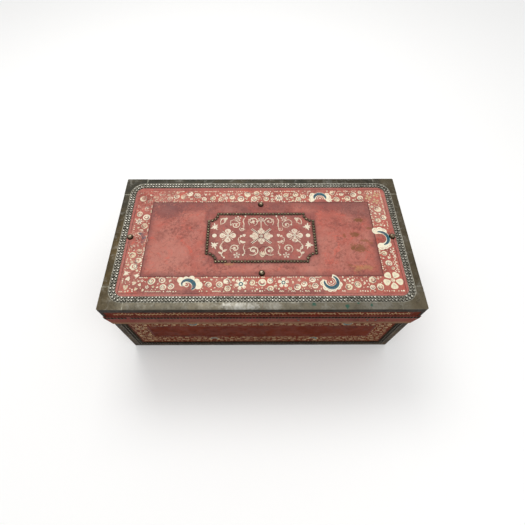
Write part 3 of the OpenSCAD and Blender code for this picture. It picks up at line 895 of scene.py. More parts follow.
def front_flap():
    """A strip of leather, nailed along its top and standing out in a wavy, frayed lower edge.

    Its ends draw in towards the foot, and its back lies on the legs of the lid's corner pieces.
    """
    low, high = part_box("front_flap")
    face = lid_front.origin.y
    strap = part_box("lid_corner_front_left")
    leg = 10.5 * MM
    strap_in = -strap[0].x - leg
    draw_in = 16 * MM
    thick = 2.4 * MM
    flare = face - thick - low.y
    fold = strap[0].z + 2 * MM
    columns, rows = 260, 14
    verts = []
    for back in (0, 1):
        for j in range(rows + 1):
            share = j / rows
            for i in range(columns + 1):
                across = -1 + 2 * i / columns
                ragged = noise.noise(Vector((across * 34, 0.3, 2.2))) * 0.7
                ragged += noise.noise(Vector((across * 110, 1.3, 7.2))) * 0.45
                foot = low.z + max(-0.8, ragged) * MM
                z = high.z + (foot - high.z) * share
                hang = max(0.0, (fold - z) / (fold - low.z))
                x = across * (high.x - draw_in * hang)
                wave = noise.noise(Vector((across * 9, 4.4, 0.6)))
                y = face - thick - flare * hang ** 1.15 * (0.92 + 0.12 * wave)
                y -= 0.2 * MM * (1 + noise.noise(Vector((across * 30, share * 4, 6.1)))) * hang
                if back:
                    y += thick * (1 - 0.25 * hang)
                    if abs(x) > strap_in and z > strap[0].z - 1 * MM:
                        y = min(y, strap[0].y - 0.05 * MM)
                verts.append((x, y, z))
    layer = (columns + 1) * (rows + 1)
    faces = grid_faces(columns + 1, rows + 1)
    faces += [tuple(reversed(face)) for face in grid_faces(columns + 1, rows + 1, layer)]
    rim = grid_rim(columns + 1, rows + 1)
    for k, a in enumerate(rim):
        b = rim[(k + 1) % len(rim)]
        faces.append((a, b, b + layer, a + layer))
    piece("front_flap_hanging", verts, faces, stuff["flap"], "lid", "flap_leather", ("front_flap",))


front_flap()


# ---- Painted flowers ----


class Paint:
    """Thin closed plates of paint of one colour on one surface; sizes in millimetres."""

    def __init__(self, surface):
        self.surface = surface
        self.verts, self.faces, self.wear, self.tint = [], [], [], []

    def add(self, points, lift, wear, tint):
        for u, v in points:
            self.verts.append(self.surface.at(u * MM, v * MM, lift * MM))
        for u, v in points:
            self.verts.append(self.surface.at(u * MM, v * MM, -0.3 * MM))
        self.wear += [wear] * (2 * len(points))
        self.tint += [tint] * (2 * len(points))

    def shape(self, outline, lift=0.2, wear=0.2, tint=1.0):
        n, start = len(outline), len(self.verts)
        self.add(outline, lift, wear, tint)
        self.faces.append(tuple(range(start, start + n)))
        self.faces.append(tuple(range(start + 2 * n - 1, start + n - 1, -1)))
        for i in range(n):
            j = (i + 1) % n
            self.faces.append((start + i, start + n + i, start + n + j, start + j))

    def stroke(self, line, width, lift=0.2, wear=0.2, tint=1.0):
        """A brush stroke; width is a number or a function of the share travelled."""
        count = len(line)
        left, right = [], []
        for i, (u, v) in enumerate(line):
            before, after = line[max(i - 1, 0)], line[min(i + 1, count - 1)]
            du, dv = after[0] - before[0], after[1] - before[1]
            long = math.hypot(du, dv) or 1
            half = (width(i / (count - 1)) if callable(width) else width) / 2
            half = max(half, 0.12)
            left.append((u - dv / long * half, v + du / long * half))
            right.append((u + dv / long * half, v - du / long * half))
        start = len(self.verts)
        self.add(left + right, lift, wear, tint)
        low = start + 2 * count
        for i in range(count - 1):
            a, b = start + i, start + count + i
            c, d = low + i, low + count + i
            self.faces.append((a, a + 1, b + 1, b))
            self.faces.append((c, d, d + 1, c + 1))
            self.faces.append((a, c, c + 1, a + 1))
            self.faces.append((b, b + 1, d + 1, d))
        for i in (0, count - 1):
            a, b = start + i, start + count + i
            self.faces.append((a, b, low + count + i, low + i))

    def done(self, name, material, slot):
        piece(name, self.verts, self.faces, material, self.surface.body, slot, smooth=False,
              wear=self.wear, tint=self.tint)


def arc(x, y, r, start, end, count=16):
    """Points on an arc, angles in degrees."""
    return [off(x, y, r, start + (end - start) * i / count) for i in range(count + 1)]


def blob(x, y, r, lobes=0, depth=0.1, turn=0.0, count=26, squash=1.0, lean=0.0):
    """Outline of a disc, scalloped if it has lobes, and squashed along one direction."""
    points = []
    for i in range(count):
        a = 2 * math.pi * i / count
        reach = r * (1 - depth + depth * abs(math.cos((a + turn) * lobes / 2)) * 2) if lobes else r
        points.append((reach * math.cos(a), reach * squash * math.sin(a)))
    return placed(points, x, y, math.degrees(lean))


def leaf(x, y, long, wide, angle, count=9):
    """Outline of a pointed leaf from its foot."""
    side = []
    for i in range(count + 1):
        t = i / count
        side.append((long * t, wide / 2 * math.sin(math.pi * t ** 0.8) ** 0.8 if 0 < t < 1 else 0))
    return placed(side + [(u, -v) for u, v in reversed(side[1:-1])], x, y, angle)


def petal(x, y, long, wide, angle, notch=0.16, lobes=0, count=22):
    """Outline of a round petal, narrow at its foot, notched or scalloped at its end."""
    points = []
    for i in range(count):
        t = 2 * math.pi * i / count
        share = 0.5 - 0.5 * math.cos(t)
        u = long * share
        u -= notch * long * math.exp(-((t - math.pi) / 0.42) ** 2)
        u -= 0.07 * long * (1 - math.cos(lobes * (t - math.pi))) * share
        points.append((u, wide / 2 * math.sin(t) * (0.72 - 0.28 * math.cos(t))))
    return placed(points, x, y, angle)


def spiral(x, y, r, start, turns, hand=1, count=30, inner=0.15):
    """Points from the outside of a spiral inwards; start in degrees."""
    points = []
    for i in range(count + 1):
        t = i / count
        points.append(off(x, y, r * (1 - (1 - inner) * t), start + hand * 360 * turns * t))
    return points


def curve(*points, count=8):
    """A smooth line through a few points."""
    line = []
    known = [points[0], *points, points[-1]]
    for k in range(1, len(known) - 2):
        p0, p1, p2, p3 = known[k - 1:k + 3]
        for i in range(count):
            t = i / count
            line.append(tuple(
                0.5 * (2 * b + (c - a) * t + (2 * a - 5 * b + 4 * c - d) * t ** 2
                       + (3 * b - a - 3 * c + d) * t ** 3)
                for a, b, c, d in zip(p0, p1, p2, p3)
            ))
    return line + [points[-1]]


def brush(width):
    """A stroke that starts and ends thin."""
    return lambda t: width * math.sin(math.pi * (0.06 + 0.88 * t)) ** 0.7


class Painter:
    """Five pots of paint on one surface, and the motifs drawn with them."""

    def __init__(self, surface, seed, worn_and_highlit):
        self.pots = {pot: Paint(surface) for pot in TONES}
        self.cream, self.blue, self.grey, self.line, self.gap = self.pots.values()
        self.rng = random.Random(seed)
        self.worn_and_highlit = worn_and_highlit
        self.taken = []

    def wear(self, x, y):
        return min(0.95, max(0.02, self.worn_and_highlit(x, y) + self.rng.uniform(-0.12, 0.12)))

    def tone(self):
        return self.rng.uniform(0.55, 1.0)

    def claim(self, x, y, r):
        self.taken.append((x, y, r))

    def free(self, x, y, r, gap):
        if not self.taken:
            return True
        held = np.array(self.taken)
        far = np.hypot(held[:, 0] - x, held[:, 1] - y)
        return bool((far > held[:, 2] + r + gap).all())

    # Filling motifs

    def blossom(self, x, y, r):
        """A scalloped disc with a curled shadow stroke, a red ring and a dotted heart."""
        rng, wear, tone = self.rng, self.wear(x, y), self.tone()
        lobes = rng.choice([0, 0, 5, 6, 7])
        self.cream.shape(blob(x, y, r * 0.97, lobes, 0.06, rng.uniform(0, 3), 30,
                              rng.uniform(0.84, 1.0), rng.uniform(0, 3)), 0.2, wear, tone)
        start, hand = rng.uniform(0, 360), rng.choice([-1, 1])
        u = x + rng.uniform(-0.14, 0.14) * r
        v = y + rng.uniform(-0.14, 0.14) * r
        kind = rng.random()
        if kind < 0.3:
            line = spiral(u, v, r * 0.66, start, 1.2, hand, 24, 0.2)
            self.gap.stroke(line, brush(r * 0.22), 0.32, 0.1, tone)
        else:
            ring = arc(u, v, r * 0.46, start + 150, start + 150 + rng.uniform(220, 340), 16)
            self.gap.stroke(ring, brush(r * 0.22), 0.32, 0.1, tone)
        shade = arc(u, v, r * 0.68, start, start + hand * rng.uniform(110, 220), 16)
        self.grey.stroke(shade, brush(r * 0.2), 0.36, wear, tone)
        if kind > 0.45:
            self.grey.shape(blob(u, v, r * 0.14, count=8), 0.36, wear, tone)

    def cluster(self, x, y, r):
        """Three to five petals round a dot."""
        rng, wear, tone = self.rng, self.wear(x, y), self.tone()
        count = rng.choice([3, 4, 5, 5])
        turn = rng.uniform(0, 360)
        for i in range(count):
            a = turn + 360 * i / count
            foot = off(x, y, 0.18 * r, a)
            self.cream.shape(petal(*foot, 0.85 * r, 3.4 * r / count, a, 0.08, 0, 12), 0.2, wear, tone)
        self.grey.shape(blob(x, y, r * 0.2, count=8), 0.26, wear, tone)

    def heart(self, x, y, r, turn=None):
        """A heart-shaped petal, with a shadow down its middle."""
        wear, tone = self.wear(x, y), self.tone()
        if turn is None:
            turn = self.rng.uniform(0, 360)
        foot = off(x, y, -0.9 * r, turn)
        self.cream.shape(petal(*foot, 1.9 * r, 1.9 * r, turn, 0.26), 0.2, wear, tone)
        fold = [off(*foot, 0.5 * r, turn), off(x, y, 0.4 * r, turn)]
        self.gap.stroke(fold, brush(0.16 * r), 0.3, 0.1, tone)

    def sprig(self, x, y, r):
        """A few leaves from one foot."""
        rng, wear, tone = self.rng, self.wear(x, y), self.tone()
        turn = rng.uniform(0, 360)
        foot = off(x, y, -0.7 * r, turn)
        for spread in (-42, 0, 42):
            long = r * rng.uniform(1.1, 1.5)
            self.cream.shape(leaf(*foot, long, r * 0.46, turn + spread, 6), 0.2, wear, tone)

    def tick(self, x, y, r):
        """A short, curved stroke."""
        rng = self.rng
        start = rng.uniform(0, 360)
        line = arc(x, y, r * 0.8, start, start + rng.uniform(110, 200), 6)
        self.cream.stroke(line, brush(r * 0.6), 0.2, self.wear(x, y), self.tone())

    def squiggle(self, x, y, r):
        """A short zigzag that lies along the band."""
        rng = self.rng
        turn = 0 if abs(y) > abs(x) * 0.4 else 90
        line = []
        for i in range(5):
            line.append(((i - 2) * 0.6 * r, (0.4 if i % 2 else -0.4) * r * rng.uniform(0.6, 1.2)))
        self.cream.stroke(placed(line, x, y, turn), 0.5 * r, 0.2, self.wear(x, y), self.tone())

    def berry(self, x, y, r):
        lean = self.rng.uniform(0, 3)
        self.cream.shape(blob(x, y, r, count=9, squash=self.rng.uniform(0.65, 1), lean=lean),
                         0.2, self.wear(x, y), self.tone())

    def fill(self, band, edges, sizes):
        """Fills a band: the largest flowers, dots along its edges, then smaller motifs."""
        rng = self.rng
        self.scatter(band, *sizes[0])
        for line in edges:
            for x, y in line:
                r = rng.uniform(1.5, 2.6)
                pick = rng.random()
                if pick < 0.5 and self.free(x, y, r, 0.5):
                    self.berry(x + rng.uniform(-0.8, 0.8), y + rng.uniform(-0.8, 0.8), r)
                    self.claim(x, y, r)
                elif 0.5 <= pick < 0.72 and self.free(x, y, 4, 0.4):
                    self.squiggle(x, y, 4)
                    self.claim(x, y, 4)
        for size, tries in sizes[1:]:
            self.scatter(band, size, tries)

    def scatter(self, band, size, tries):
        rng = self.rng
        for _ in range(tries):
            r = size * rng.uniform(0.84, 1.12)
            x, y = band(rng, r)
            if not self.free(x, y, r, 0.6 + 0.1 * size):
                continue
            self.claim(x, y, r)
            if size > 5.5:
                self.blossom(x, y, r)
            elif size > 3.6:
                rng.choice([self.cluster, self.blossom, self.heart, self.sprig])(x, y, r)
            elif size > 2.3:
                rng.choice([self.tick, self.sprig, self.berry])(x, y, r)
            else:
                self.berry(x, y, r)

    # Main motifs

    def crescent(self, x, y, r, back, sweep, faded=False, thick=0.58, reach=1.22, ringed=True,
                 fans=(-112, -66, -22, 22, 66, 112)):
        """A blue crescent with a pale lining, backed by round petals; back is its closed side."""
        rng = self.rng
        wear = 0.7 if faded else 0.06
        for i, fan in enumerate(fans):
            angle = back + fan + rng.uniform(-5, 5)
            size = r * rng.uniform(0.42, 0.56)
            px, py = off(x, y, reach * r, angle)
            lift = 0.18 + 0.02 * i
            outline = blob(px, py, size, count=22, squash=rng.uniform(0.85, 1), lean=math.radians(angle))
            self.cream.shape(outline, lift, wear, rng.uniform(0.85, 1))
            self.gap.stroke(arc(px, py, size * 0.55, back + fan - 60, back + fan + 60, 10),
                            brush(0.9), lift + 0.1, 0.1, 0.6)
        self.cream.stroke(arc(x, y, r, back - sweep - 10, back + sweep + 10, 30),
                          r * (thick + 0.1), 0.3, wear, 0.95)
        self.blue.stroke(arc(x, y, r, back - sweep, back + sweep, 34), brush(r * thick), 0.38,
                         wear * 0.9, 0.05)
        self.blue.stroke(arc(x, y, r * 1.14, back - sweep * 0.7, back + sweep * 0.3, 20),
                         brush(r * 0.1), 0.42, wear, 0.8)
        self.gap.stroke(arc(x, y, r * 0.55, back - sweep - 10, back + sweep + 10, 26),
                        brush(r * 0.14), 0.4, 0.1, 0.8)
        if ringed:
            self.cream.stroke(arc(x, y, r * 0.44, back - 130, back + 130, 20), brush(r * 0.12),
                              0.3, wear, 1.0)
            self.cream.shape(blob(x, y, r * 0.15, count=10), 0.3, wear, 1.0)
        self.claim(*off(x, y, 0.3 * r, back), 1.6 * r)

    def round_flower(self, x, y, r, petals, turn, heart, wear=0.05):
        """Round petals about a ringed heart of blue or grey paint."""
        for i in range(petals):
            a = turn + 360 * i / petals
            outline = petal(*off(x, y, 0.3 * r, a), 0.72 * r, 4.3 * r / petals, a, 0.03)
            self.cream.shape(outline, 0.2 + 0.01 * i, wear, 0.98)
            edge = arc(*off(x, y, 0.66 * r, a), 0.2 * r, a - 90, a + 90, 8)
            self.gap.stroke(edge, brush(0.05 * r), 0.34, 0.1, 0.6)
        self.cream.shape(blob(x, y, r * 0.48, count=20), 0.3, wear, 1.0)
        heart.stroke(arc(x, y, r * 0.28, 0, 360, 20), r * 0.18, 0.38, wear, 0.15)
        self.cream.shape(blob(x, y, r * 0.16, count=10), 0.42, wear, 1.0)
        self.claim(x, y, r)

    def open_flower(self, x, y, r, petals, turn, wear, tint=1.0, lobes=0, broad=3.1):
        """Separate notched petals about a round heart."""
        for i in range(petals):
            a = turn + 360 * i / petals
            foot = off(x, y, 0.26 * r, a)
            outline = petal(*foot, 0.76 * r, broad * r / petals, a, 0.12, lobes)
            self.cream.shape(outline, 0.2 + 0.01 * i, wear, tint)
            for spread in (-14, 0, 14):
                vein = [off(*foot, 0.14 * r, a + spread), off(*foot, 0.46 * r, a + spread)]
                self.grey.stroke(vein, brush(0.035 * r), 0.3, wear, 1.0)
        self.cream.shape(blob(x, y, r * 0.2, count=14), 0.3, wear, tint)
        self.gap.stroke(arc(x, y, r * 0.12, 0, 300, 10), 0.05 * r, 0.4, 0.1, 0.5)
        self.claim(x, y, r)

    def star(self, x, y, r, turn, wear):
        """An irregular star of narrow leaves."""
        for i, share in enumerate((1.0, 0.62, 0.9, 0.55, 0.85, 0.6, 0.75)):
            a = turn + 360 * i / 7
            self.cream.shape(leaf(x, y, r * share, r * 0.28, a, 6), 0.2 + 0.01 * i, wear, 0.95)
        self.cream.shape(blob(x, y, r * 0.2, count=10), 0.3, wear, 0.95)

    def scroll(self, line, width, wear, bud):
        """A vine stroke on a thin wash of paint, with small leaves and a bud at its end."""
        rng, tint = self.rng, 0.8
        self.cream.stroke(line, brush(2.6 * width), 0.16, 0.8, tint)
        self.cream.stroke(line, brush(width), 0.22, wear, tint)
        for k in range(4, len(line) - 4, 7):
            (u, v), (after_u, after_v) = line[k], line[k + 1]
            along = math.degrees(math.atan2(after_v - v, after_u - u))
            hand = rng.choice([-1, 1])
            self.cream.shape(leaf(u, v, 2.6 * width, width, along + hand * rng.uniform(35, 70), 5), 0.24,
                             min(0.9, wear + 0.25), tint)
        self.cream.shape(blob(*line[-1], 1.1 * bud, count=12), 0.24, wear, tint)

    def done(self, name, under, slot, tones):
        """Makes one piece of each pot in use, in the usual tones but for those given."""
        for pot, paint in self.pots.items():
            if paint.verts:
                label = f"{name}_{pot}_paint"
                pair = tones.get(pot, TONES[pot])
                paint.done(label, paint_material(label, *pair, under), slot)


def steps(a, b, pitch):
    """Evenly spaced points on a straight line."""
    count = max(1, round(math.dist(a, b) / pitch))
    return [(a[0] + (b[0] - a[0]) * i / count, a[1] + (b[1] - a[1]) * i / count)
            for i in range(count + 1)]


def box_line(left, low, right, high, pitch):
    """Points round a rectangle, one side at a time."""
    corners = [(left, low), (right, low), (right, high), (left, high), (left, low)]
    return [steps(corners[i], corners[i + 1], pitch) for i in range(4)]


def around(half, inset=0):
    """Left, low, right and high sides of a rectangle about the lid's middle."""
    x, y = half[0] - inset, half[1] - inset
    return -x, -y, x, y


def frame_line(painter, left, low, right, high, width, keep, wear):
    """A ruled line round a rectangle, rubbed away in places."""
    rng = painter.rng
    for side in box_line(left, low, right, high, 9):
        i = 0
        while i < len(side) - 1:
            run = rng.randint(3, 12)
            if rng.random() < keep:
                painter.line.stroke(side[i:i + run + 1], width, 0.12, wear, rng.uniform(0.3, 1))
            i += run


def ring_band(left, low, right, high, wide):
    """A picker of random places in the band just inside a rectangle."""
    across, up = right - left, high - low

    def pick(rng, r):
        room = wide - 2 * r
        deep = r + rng.uniform(0, max(room, 0.01))
        if rng.random() < across / (across + up):
            x = rng.uniform(left + r, right - r)
            return x, (low + deep if rng.random() < 0.5 else high - deep)
        y = rng.uniform(low + r, high - r)
        return (left + deep if rng.random() < 0.5 else right - deep), y

    return pick


def border(painter, left, low, right, high, wide, sizes):
    """Fills the flowered band inside a rectangle, between two rows of dots."""
    inset = 2.6
    edges = box_line(left + inset, low + inset, right - inset, high - inset, 6.4)
    inner = wide - inset
    edges += box_line(left + inner, low + inner, right - inner, high - inner, 6.4)
    painter.fill(ring_band(left, low, right, high, wide), edges, sizes)


BAND_SIZES = ((10.2, 400), (8.0, 500), (5.2, 1000), (3.4, 1300), (2.4, 900), (1.5, 500))
FINE_SIZES = ((7.0, 500), (5.4, 700), (4.2, 1200), (3.0, 1800), (2.4, 1600), (1.5, 1200))


def lid_wear(x, y):
    """How worn the lid's paint is: most at the left end and the back corners."""
    left = max(0.0, (-x - 120) / 280)
    back_left = 0.25 if x < -90 and y > 100 else 0.0
    back_right = 0.18 if x > 280 and y > 90 else 0.0
    return 0.14 + 0.30 * left + back_left + back_right


def paint_lid():
    """The flowered border of the lid and its main motifs."""
    p = Painter(lid_face, 21, lid_wear)
    p.crescent(186, 146, 18, 90, 95, reach=1.5, fans=(-98, -76, -56, 56, 76, 98))
    p.crescent(347, -6, 23, 14, 88, thick=0.42, ringed=False, fans=(48, 74, 96, -60, -86, -110))
    p.crescent(187, -148, 18, -62, 128, thick=0.55, fans=(-104, -74, -42, -10, 20, 46))
    p.crescent(-362, -6, 20, 10, 75, faded=True)
    for angle, far, size in ((150, 26, 9), (178, 17, 9), (115, 19, 8), (70, 21, 8), (-14, 27, 12),
                             (20, 22, 9)):
        c, s = unit(angle)
        p.cream.shape(blob(-198 + far * c, -152 + 0.8 * far * s, size, count=22), 0.2, 0.08, 0.95)
    comma = curve((-214, -160), (-216, -150), (-207, -142), (-194, -143), (-184, -152), (-183, -164),
                  (-189, -170))
    p.cream.stroke(comma, brush(15), 0.28, 0.08, 0.95)
    p.blue.stroke(comma, lambda t: 2 + 9 * math.sin(math.pi * t ** 1.4) ** 0.8, 0.36, 0.05, 0.15)
    p.cream.stroke(spiral(-204, -157, 8, 100, 1.2, -1, 20), brush(2.2), 0.42, 0.1, 1.0)
    p.claim(-198, -152, 34)
    p.round_flower(-57, -154, 17, 6, 15, p.blue)
    p.round_flower(58, -150, 15, 5, 90, p.blue)
    p.round_flower(57, 148, 14, 9, 0, p.line, 0.2)
    p.open_flower(355, -143, 29, 5, 56, 0.02, 0.75, 3, 4.5)
    p.cream.stroke([(374 + 2.6 * (-1) ** i, -46 - 5 * i) for i in range(14)], 2.2, 0.2, 0.15, 0.9)
    p.claim(374, -78, 6)
    for x, y, r, turn in ((-366, -163, 9, 92), (-364, -137, 8, 250), (-345, -150, 7, 200),
                          (-338, -168, 6, 60)):
        p.heart(x, y, r, turn)
        p.claim(x, y, r)
    for x, y, r, turn in ((-372, -120, 12, 20), (-342, -128, 11, 60)):
        p.star(x, y, r, turn, 0.3)
        p.claim(x, y, r * 0.8)
    for x, y in ((364, 160), (338, 148), (358, 134)):
        p.open_flower(x, y, 11, 4, 20, 0.45, 0.1)
    p.round_flower(-366, 58, 11, 7, 0, p.grey, 0.35)
    border(p, *around(BORDER, 4), 47, BAND_SIZES)
    frame_line(p, *around(BORDER), 1.5, 0.75, 0.45)
    frame_line(p, *around(FIELD), 2.0, 0.85, 0.4)
    p.done("lid_border", lid_colour, "lid_leather", {})


def paint_cartouche():
    """Flowers and vines inside the nailed outline, nearly the same on both sides."""
    p = Painter(lid_face, 33, lambda x, y: 0.22)
    middle = (0, 3)
    for a in (90, 0, 180, 270):
        longer = 1.3 if a in (0, 180) else 1
        for spread, long, wide in ((-30, 16, 12), (30, 16, 12), (0, 21, 14)):
            outline = petal(*off(*middle, 8, a), long * longer, wide, a + spread, 0.06)
            p.cream.shape(outline, 0.2, 0.4, 0.9)
            foot = off(*middle, 11, a)
            p.gap.stroke([foot, off(*foot, 13, a + 0.7 * spread)], brush(1.6), 0.3, 0.1, 0.5)
    for a in (45, 135, 225, 315):
        c, s = unit(a)
        stem = steps(off(*middle, 9, a), (middle[0] + 40 * c, middle[1] + 36 * s), 4)
        p.line.stroke(stem, 2.6, 0.24, 0.3, 0.6)
        for side in (-2.2, 2.2):
            p.cream.stroke([off(x, y, side, a + 90) for x, y in stem], 1.7, 0.28, 0.15, 1.0)
    p.line.shape(blob(*middle, 6.4, count=20), 0.32, 0.1, 0.6)
    p.cream.stroke(arc(*middle, 4.6, 0, 360, 20), 1.6, 0.38, 0.1, 1.0)
    p.cream.shape(blob(*middle, 2.2, count=12), 0.38, 0.1, 1.0)
    for side, faded in ((-1, 0.0), (1, 0.14)):
        wear = 0.3 + faded

        def at(x, y):
            return side * x, y

        def line(*points):
            return curve(*[at(*q) for q in points])

        def aim(angle):
            return angle if side > 0 else 180 - angle

        def coil(x, y, r, start, turns, hand=1):
            return spiral(side * x, y, r, aim(start), turns, hand * side)

        flower = at(98, 5)
        for a in (0, 90, 180, 270):
            c, s = unit(a)
            p.cream.shape(petal(*off(*flower, 5, a), 20, 24, a, 0.05, 3), 0.2, wear, 0.95)
            curl = arc(flower[0] + 15.5 * c, flower[1] + 16.5 * s, 3, a, a + 220, 10)
            p.gap.stroke(curl, brush(1.6), 0.3, 0.1, 0.5)
        p.cream.shape(blob(*flower, 5.4, 6, 0.07), 0.26, wear, 1.0)
        p.grey.stroke(arc(*flower, 2.6, 0, 320, 12), 0.9, 0.34, wear, 0.6)
        for a in (45, 135, 225, 315):
            p.cream.stroke([off(*flower, 9, a), off(*flower, 22, a)], 1.8, 0.24, wear, 0.9)
        p.star(*at(137, 36), 16, aim(80), 0.1)
        p.star(*at(136, -28), 16, aim(250), 0.1)
        p.cream.shape(blob(*at(137, 5), 6.6, count=20), 0.2, 0.1, 0.9)
        for x, y, turn in ((69, 67, 90), (70, -63, 20)):
            p.open_flower(*at(x, y), 10, 5, turn, wear)
        for x, y, long, wide, angle, notch in (
            (47, 72, 7, 7, 90, 0.1),
            (50, 0, 11, 12, 90, 0.12),
            (54, 2, 9, 8, 10, 0.12),
        ):
            p.cream.shape(petal(*at(x, y), long, wide, aim(angle), notch), 0.23, wear, 0.95)
        for x, y, long, wide, angle in (
            (62, -12, 13, 7, 230),
            (58, -20, 13, 7, 170),
            (112, -44, 15, 8, 60),
            (110, -50, 14, 7, 150),
            (112, -58, 13, 7, 30),
        ):
            p.cream.shape(leaf(*at(x, y), long, wide, aim(angle)), 0.23, wear, 0.9)
        for path, width, bud in (
            (line((120, 44), (121, 58), (114, 68), (104, 67)), 2.6, 3.4),
            (line((120, 46), (112, 50), (106, 58), (108, 63)), 2.4, 4.2),
            (coil(76, 44, 14.5, 75, 1.35), 3.0, 3.0),
            (line((69, 60), (84, 62), (92, 54), (90, 44)), 2.0, 2.4),
            (line((48, 70), (53, 60), (51, 46), (52, 30)), 2.6, 1.6),
            (coil(25, 57, 17, 255, 1.15, -1), 3.4, 4.0),
            (line((34, 42), (36, 48), (38, 56), (36, 64)), 2.0, 1.4),
            (coil(56, 28, 9, 60, 1.0, -1), 2.4, 2.6),
            (line((56, 2), (66, -4), (66, -14), (62, -24)), 2.0, 1.4),
            (line((104, -10), (114, -22), (118, -34), (110, -48), (114, -62), (106, -70)), 2.6, 2.6),
            (coil(76, -40, 15.5, 300, 1.3), 3.0, 3.4),
            (line((48, -26), (52, -38), (48, -52), (53, -62)), 2.2, 2.6),
            (coil(24, -46, 18, 305, 1.2, -1), 3.6, 4.4),
        ):
            p.scroll(path, width, wear, bud)
    p.open_flower(0, 62, 10, 6, 90, 0.16)
    p.cream.stroke([(0, 53), (0, 30)], 1.6, 0.22, 0.16, 0.9)
    for fan in (60, 78, 96, 114):
        p.cream.shape(leaf(2, -70, 22, 6, fan), 0.2, 0.3, 0.4)
    p.line.stroke(arc(9, -49, 16, -20, 330, 30), brush(1.5), 0.34, 0.35, 0.4)
    frame_line(p, -150, -79, 150, 79, 1.1, 0.3, 0.6)
    p.done("cartouche", lid_colour, "lid_leather", FADED)


def zigzag(left, right, level, pitch, height, rng):
    """A restless line of short strokes."""
    points, x, up = [], left, 1
    while x < right:
        points.append((x, level + up * height * rng.uniform(0.4, 1)))
        x += pitch * rng.uniform(0.7, 1.3)
        up = -up
    return points


def paint_lid_side(surface, name, half, seed):
    """The lid's rim: a zigzag vine between two fine lines, with dots in its bends."""
    p = Painter(surface, seed, lambda x, y: 0.18)
    level = 291
    x = -half
    while x < half - 30:
        long = p.rng.uniform(36, 90)
        line = zigzag(x, min(x + long, half), level + p.rng.uniform(-1.5, 1.5), 5.2, 4.6, p.rng)
        if len(line) > 2:
            p.cream.stroke(line, 3.6, 0.2, p.wear(x, level), p.tone())
        x += long + p.rng.uniform(1, 5)
    for x, y in steps((-half, level), (half, level), 8.5):
        side = p.rng.choice([-1, 1])
        if p.rng.random() < 0.8:
            p.berry(x, y + side * p.rng.uniform(5.5, 9), p.rng.uniform(1.2, 2.2))
    frame_line(p, -half - 4, level - 12.5, half + 4, level + 12.5, 1.0, 0.5, 0.4)
    p.done(name, shaded_side_colour, "side_leather", SHADED_SIDE_PAINT)


def paint_body_side(surface, name, centre, half, seed, crescents):
    """A flowered border round a plain panel."""
    p = Painter(surface, seed, lambda x, y: 0.34)
    low, high, wide = 41, 228, 46
    left, right = centre - half, centre + half
    for x, y, back in crescents:
        p.crescent(x, y, 11, back, 100)
    border(p, left, low, right, high, wide, FINE_SIZES)
    frame_line(p, left - 2, low - 2, right + 2, high + 2, 1.3, 0.7, 0.4)
    frame_line(p, left + wide + 2, low + wide + 2, right - wide - 2, high - wide - 2, 1.8, 0.8, 0.3)
    p.done(name, shaded_side_colour, "side_leather", SHADED_SIDE_PAINT)


paint_lid()
paint_cartouche()
paint_lid_side(lid_front, "lid_front_band", 396, 41)
paint_lid_side(lid_back, "lid_back_band", 396, 42)
paint_lid_side(lid_left, "lid_left_band", 196, 43)
paint_lid_side(lid_right, "lid_right_band", 196, 44)
FRONT_CRESCENTS = ((-150, 64, 90), (168, 64, 60), (-200, 203, 270), (250, 203, 270))
paint_body_side(body_front, "front_border", 0, 384, 51, FRONT_CRESCENTS)
paint_body_side(body_back, "back_border", 0, 384, 52, ((-160, 64, 90), (160, 64, 90)))
end_middle = (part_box("left_end_leather")[0].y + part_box("left_end_leather")[1].y) / 2 / MM
paint_body_side(body_right, "right_border", end_middle, 184, 53, ((end_middle, 64, 90),))
paint_body_side(body_left, "left_border", -end_middle, 184, 54, ((-end_middle, 64, 90),))


# ---- Tacks on the flap ----


def flap_tacks():
    """Three small iron tacks pushed through the flap."""
    shape = lathe(dome(3.2 * MM, 1.2 * MM, 3), 12)
    low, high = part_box("front_flap")
    out = Vector((0, -1, 0.24)).normalized()
    places = []
    for x in (100, 290, 312):
        places.append(((x * MM, lid_front.origin.y - 4 * MM, low.z + 0.45 * (high.z - low.z)), out))
    stamp("flap_tacks", shape, places, stuff["iron"], "lid", "lock_iron", (), 77, 0.2)


flap_tacks()


# ---- Materials of the CAD nodes that stay ----


def soften(node, width):
    """Rounds the sharp edges of a CAD node with modifiers alone."""
    weld = nodes[node].modifiers.new("weld", "WELD")
    weld.merge_threshold = 0.00001
    bevel = nodes[node].modifiers.new("soft edges", "BEVEL")
    bevel.width = width
    bevel.segments = 2
    bevel.limit_method = "ANGLE"
    bevel.angle_limit = math.radians(40)


def coat(node, material, edge=0.0):
    mesh = nodes[node].data
    mesh.materials.clear()
    mesh.materials.append(material)
    if edge:
        soften(node, edge)


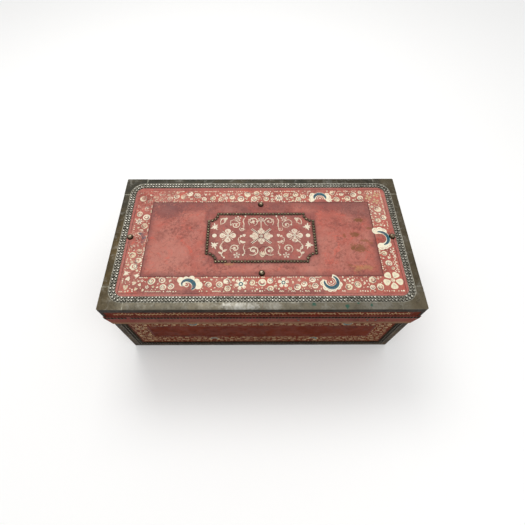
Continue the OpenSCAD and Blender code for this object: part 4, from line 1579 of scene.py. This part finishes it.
for node in nodes:
    if node.endswith("_board") or node.endswith("_rail"):
        across = "end" in node or "left" in node or "right" in node
        coat(node, stuff["wood_y" if across else "wood_x"], 0.6 * MM)
    elif node.startswith("lid_corner"):
        coat(node, stuff["lid_brass"], 0.3 * MM)
    elif node.startswith("corner_strap") or node.startswith("base_strip"):
        coat(node, stuff["body_brass"], 0.3 * MM)
    elif node.startswith(("hinge_leaf", "hinge_pin", "handle_posts", "bail", "keyhole")):
        coat(node, stuff["cast"])
    elif node in ("lock_case", "lock_bolt", "lock_staple"):
        coat(node, stuff["iron"])
    elif node == "front_leather":
        coat(node, stuff["side_leather"])


# ---- Floor, light and camera ----


def make_floor():
    size = 4.0
    corners = [(-size, -size, 0), (size, -size, 0), (size, size, 0), (-size, size, 0)]
    mesh = bpy.data.meshes.new("floor")
    mesh.from_pydata(corners, [], [(0, 1, 2, 3)])
    mesh.materials.append(floor_material())
    add_object("floor", mesh)


def area_light(name, place, target, size, power, colour=(1, 1, 1)):
    lamp = bpy.data.lights.new(name, "AREA")
    lamp.shape = "RECTANGLE"
    lamp.size, lamp.size_y = size
    lamp.energy = power
    lamp.color = colour
    made = add_object(name, lamp)
    made.location = place
    made.rotation_euler = (Vector(target) - Vector(place)).to_track_quat("-Z", "Y").to_euler()


def make_lights():
    world = bpy.data.worlds.new("studio")
    world.use_nodes = True
    background = world.node_tree.nodes["Background"].inputs
    background["Color"].default_value = (1, 1, 1, 1)
    background["Strength"].default_value = 0.78
    bpy.context.scene.world = world
    area_light("window", (-0.5, 1.3, 2.5), (0, 0, 0.3), (1.6, 1.0), 26, (1, 0.985, 0.96))
    area_light("fill", (1.0, -1.3, 2.3), (0, -0.1, 0.2), (1.4, 1.0), 9)
    bpy.context.scene.view_settings.view_transform = "Standard"


def make_camera():
    """The viewpoint: in front of the chest, well above it, looking steeply down."""
    camera = bpy.data.cameras.new("camera")
    camera.sensor_width = 36
    camera.lens = 23.53
    camera.shift_x = 0.0154
    made = add_object("camera", camera)
    made.location = (-0.0218, -0.573, 1.148)
    made.rotation_euler = (math.radians(90 - 59.49), 0, math.radians(-0.18))
    bpy.context.scene.camera = made


make_floor()
make_lights()
make_camera()
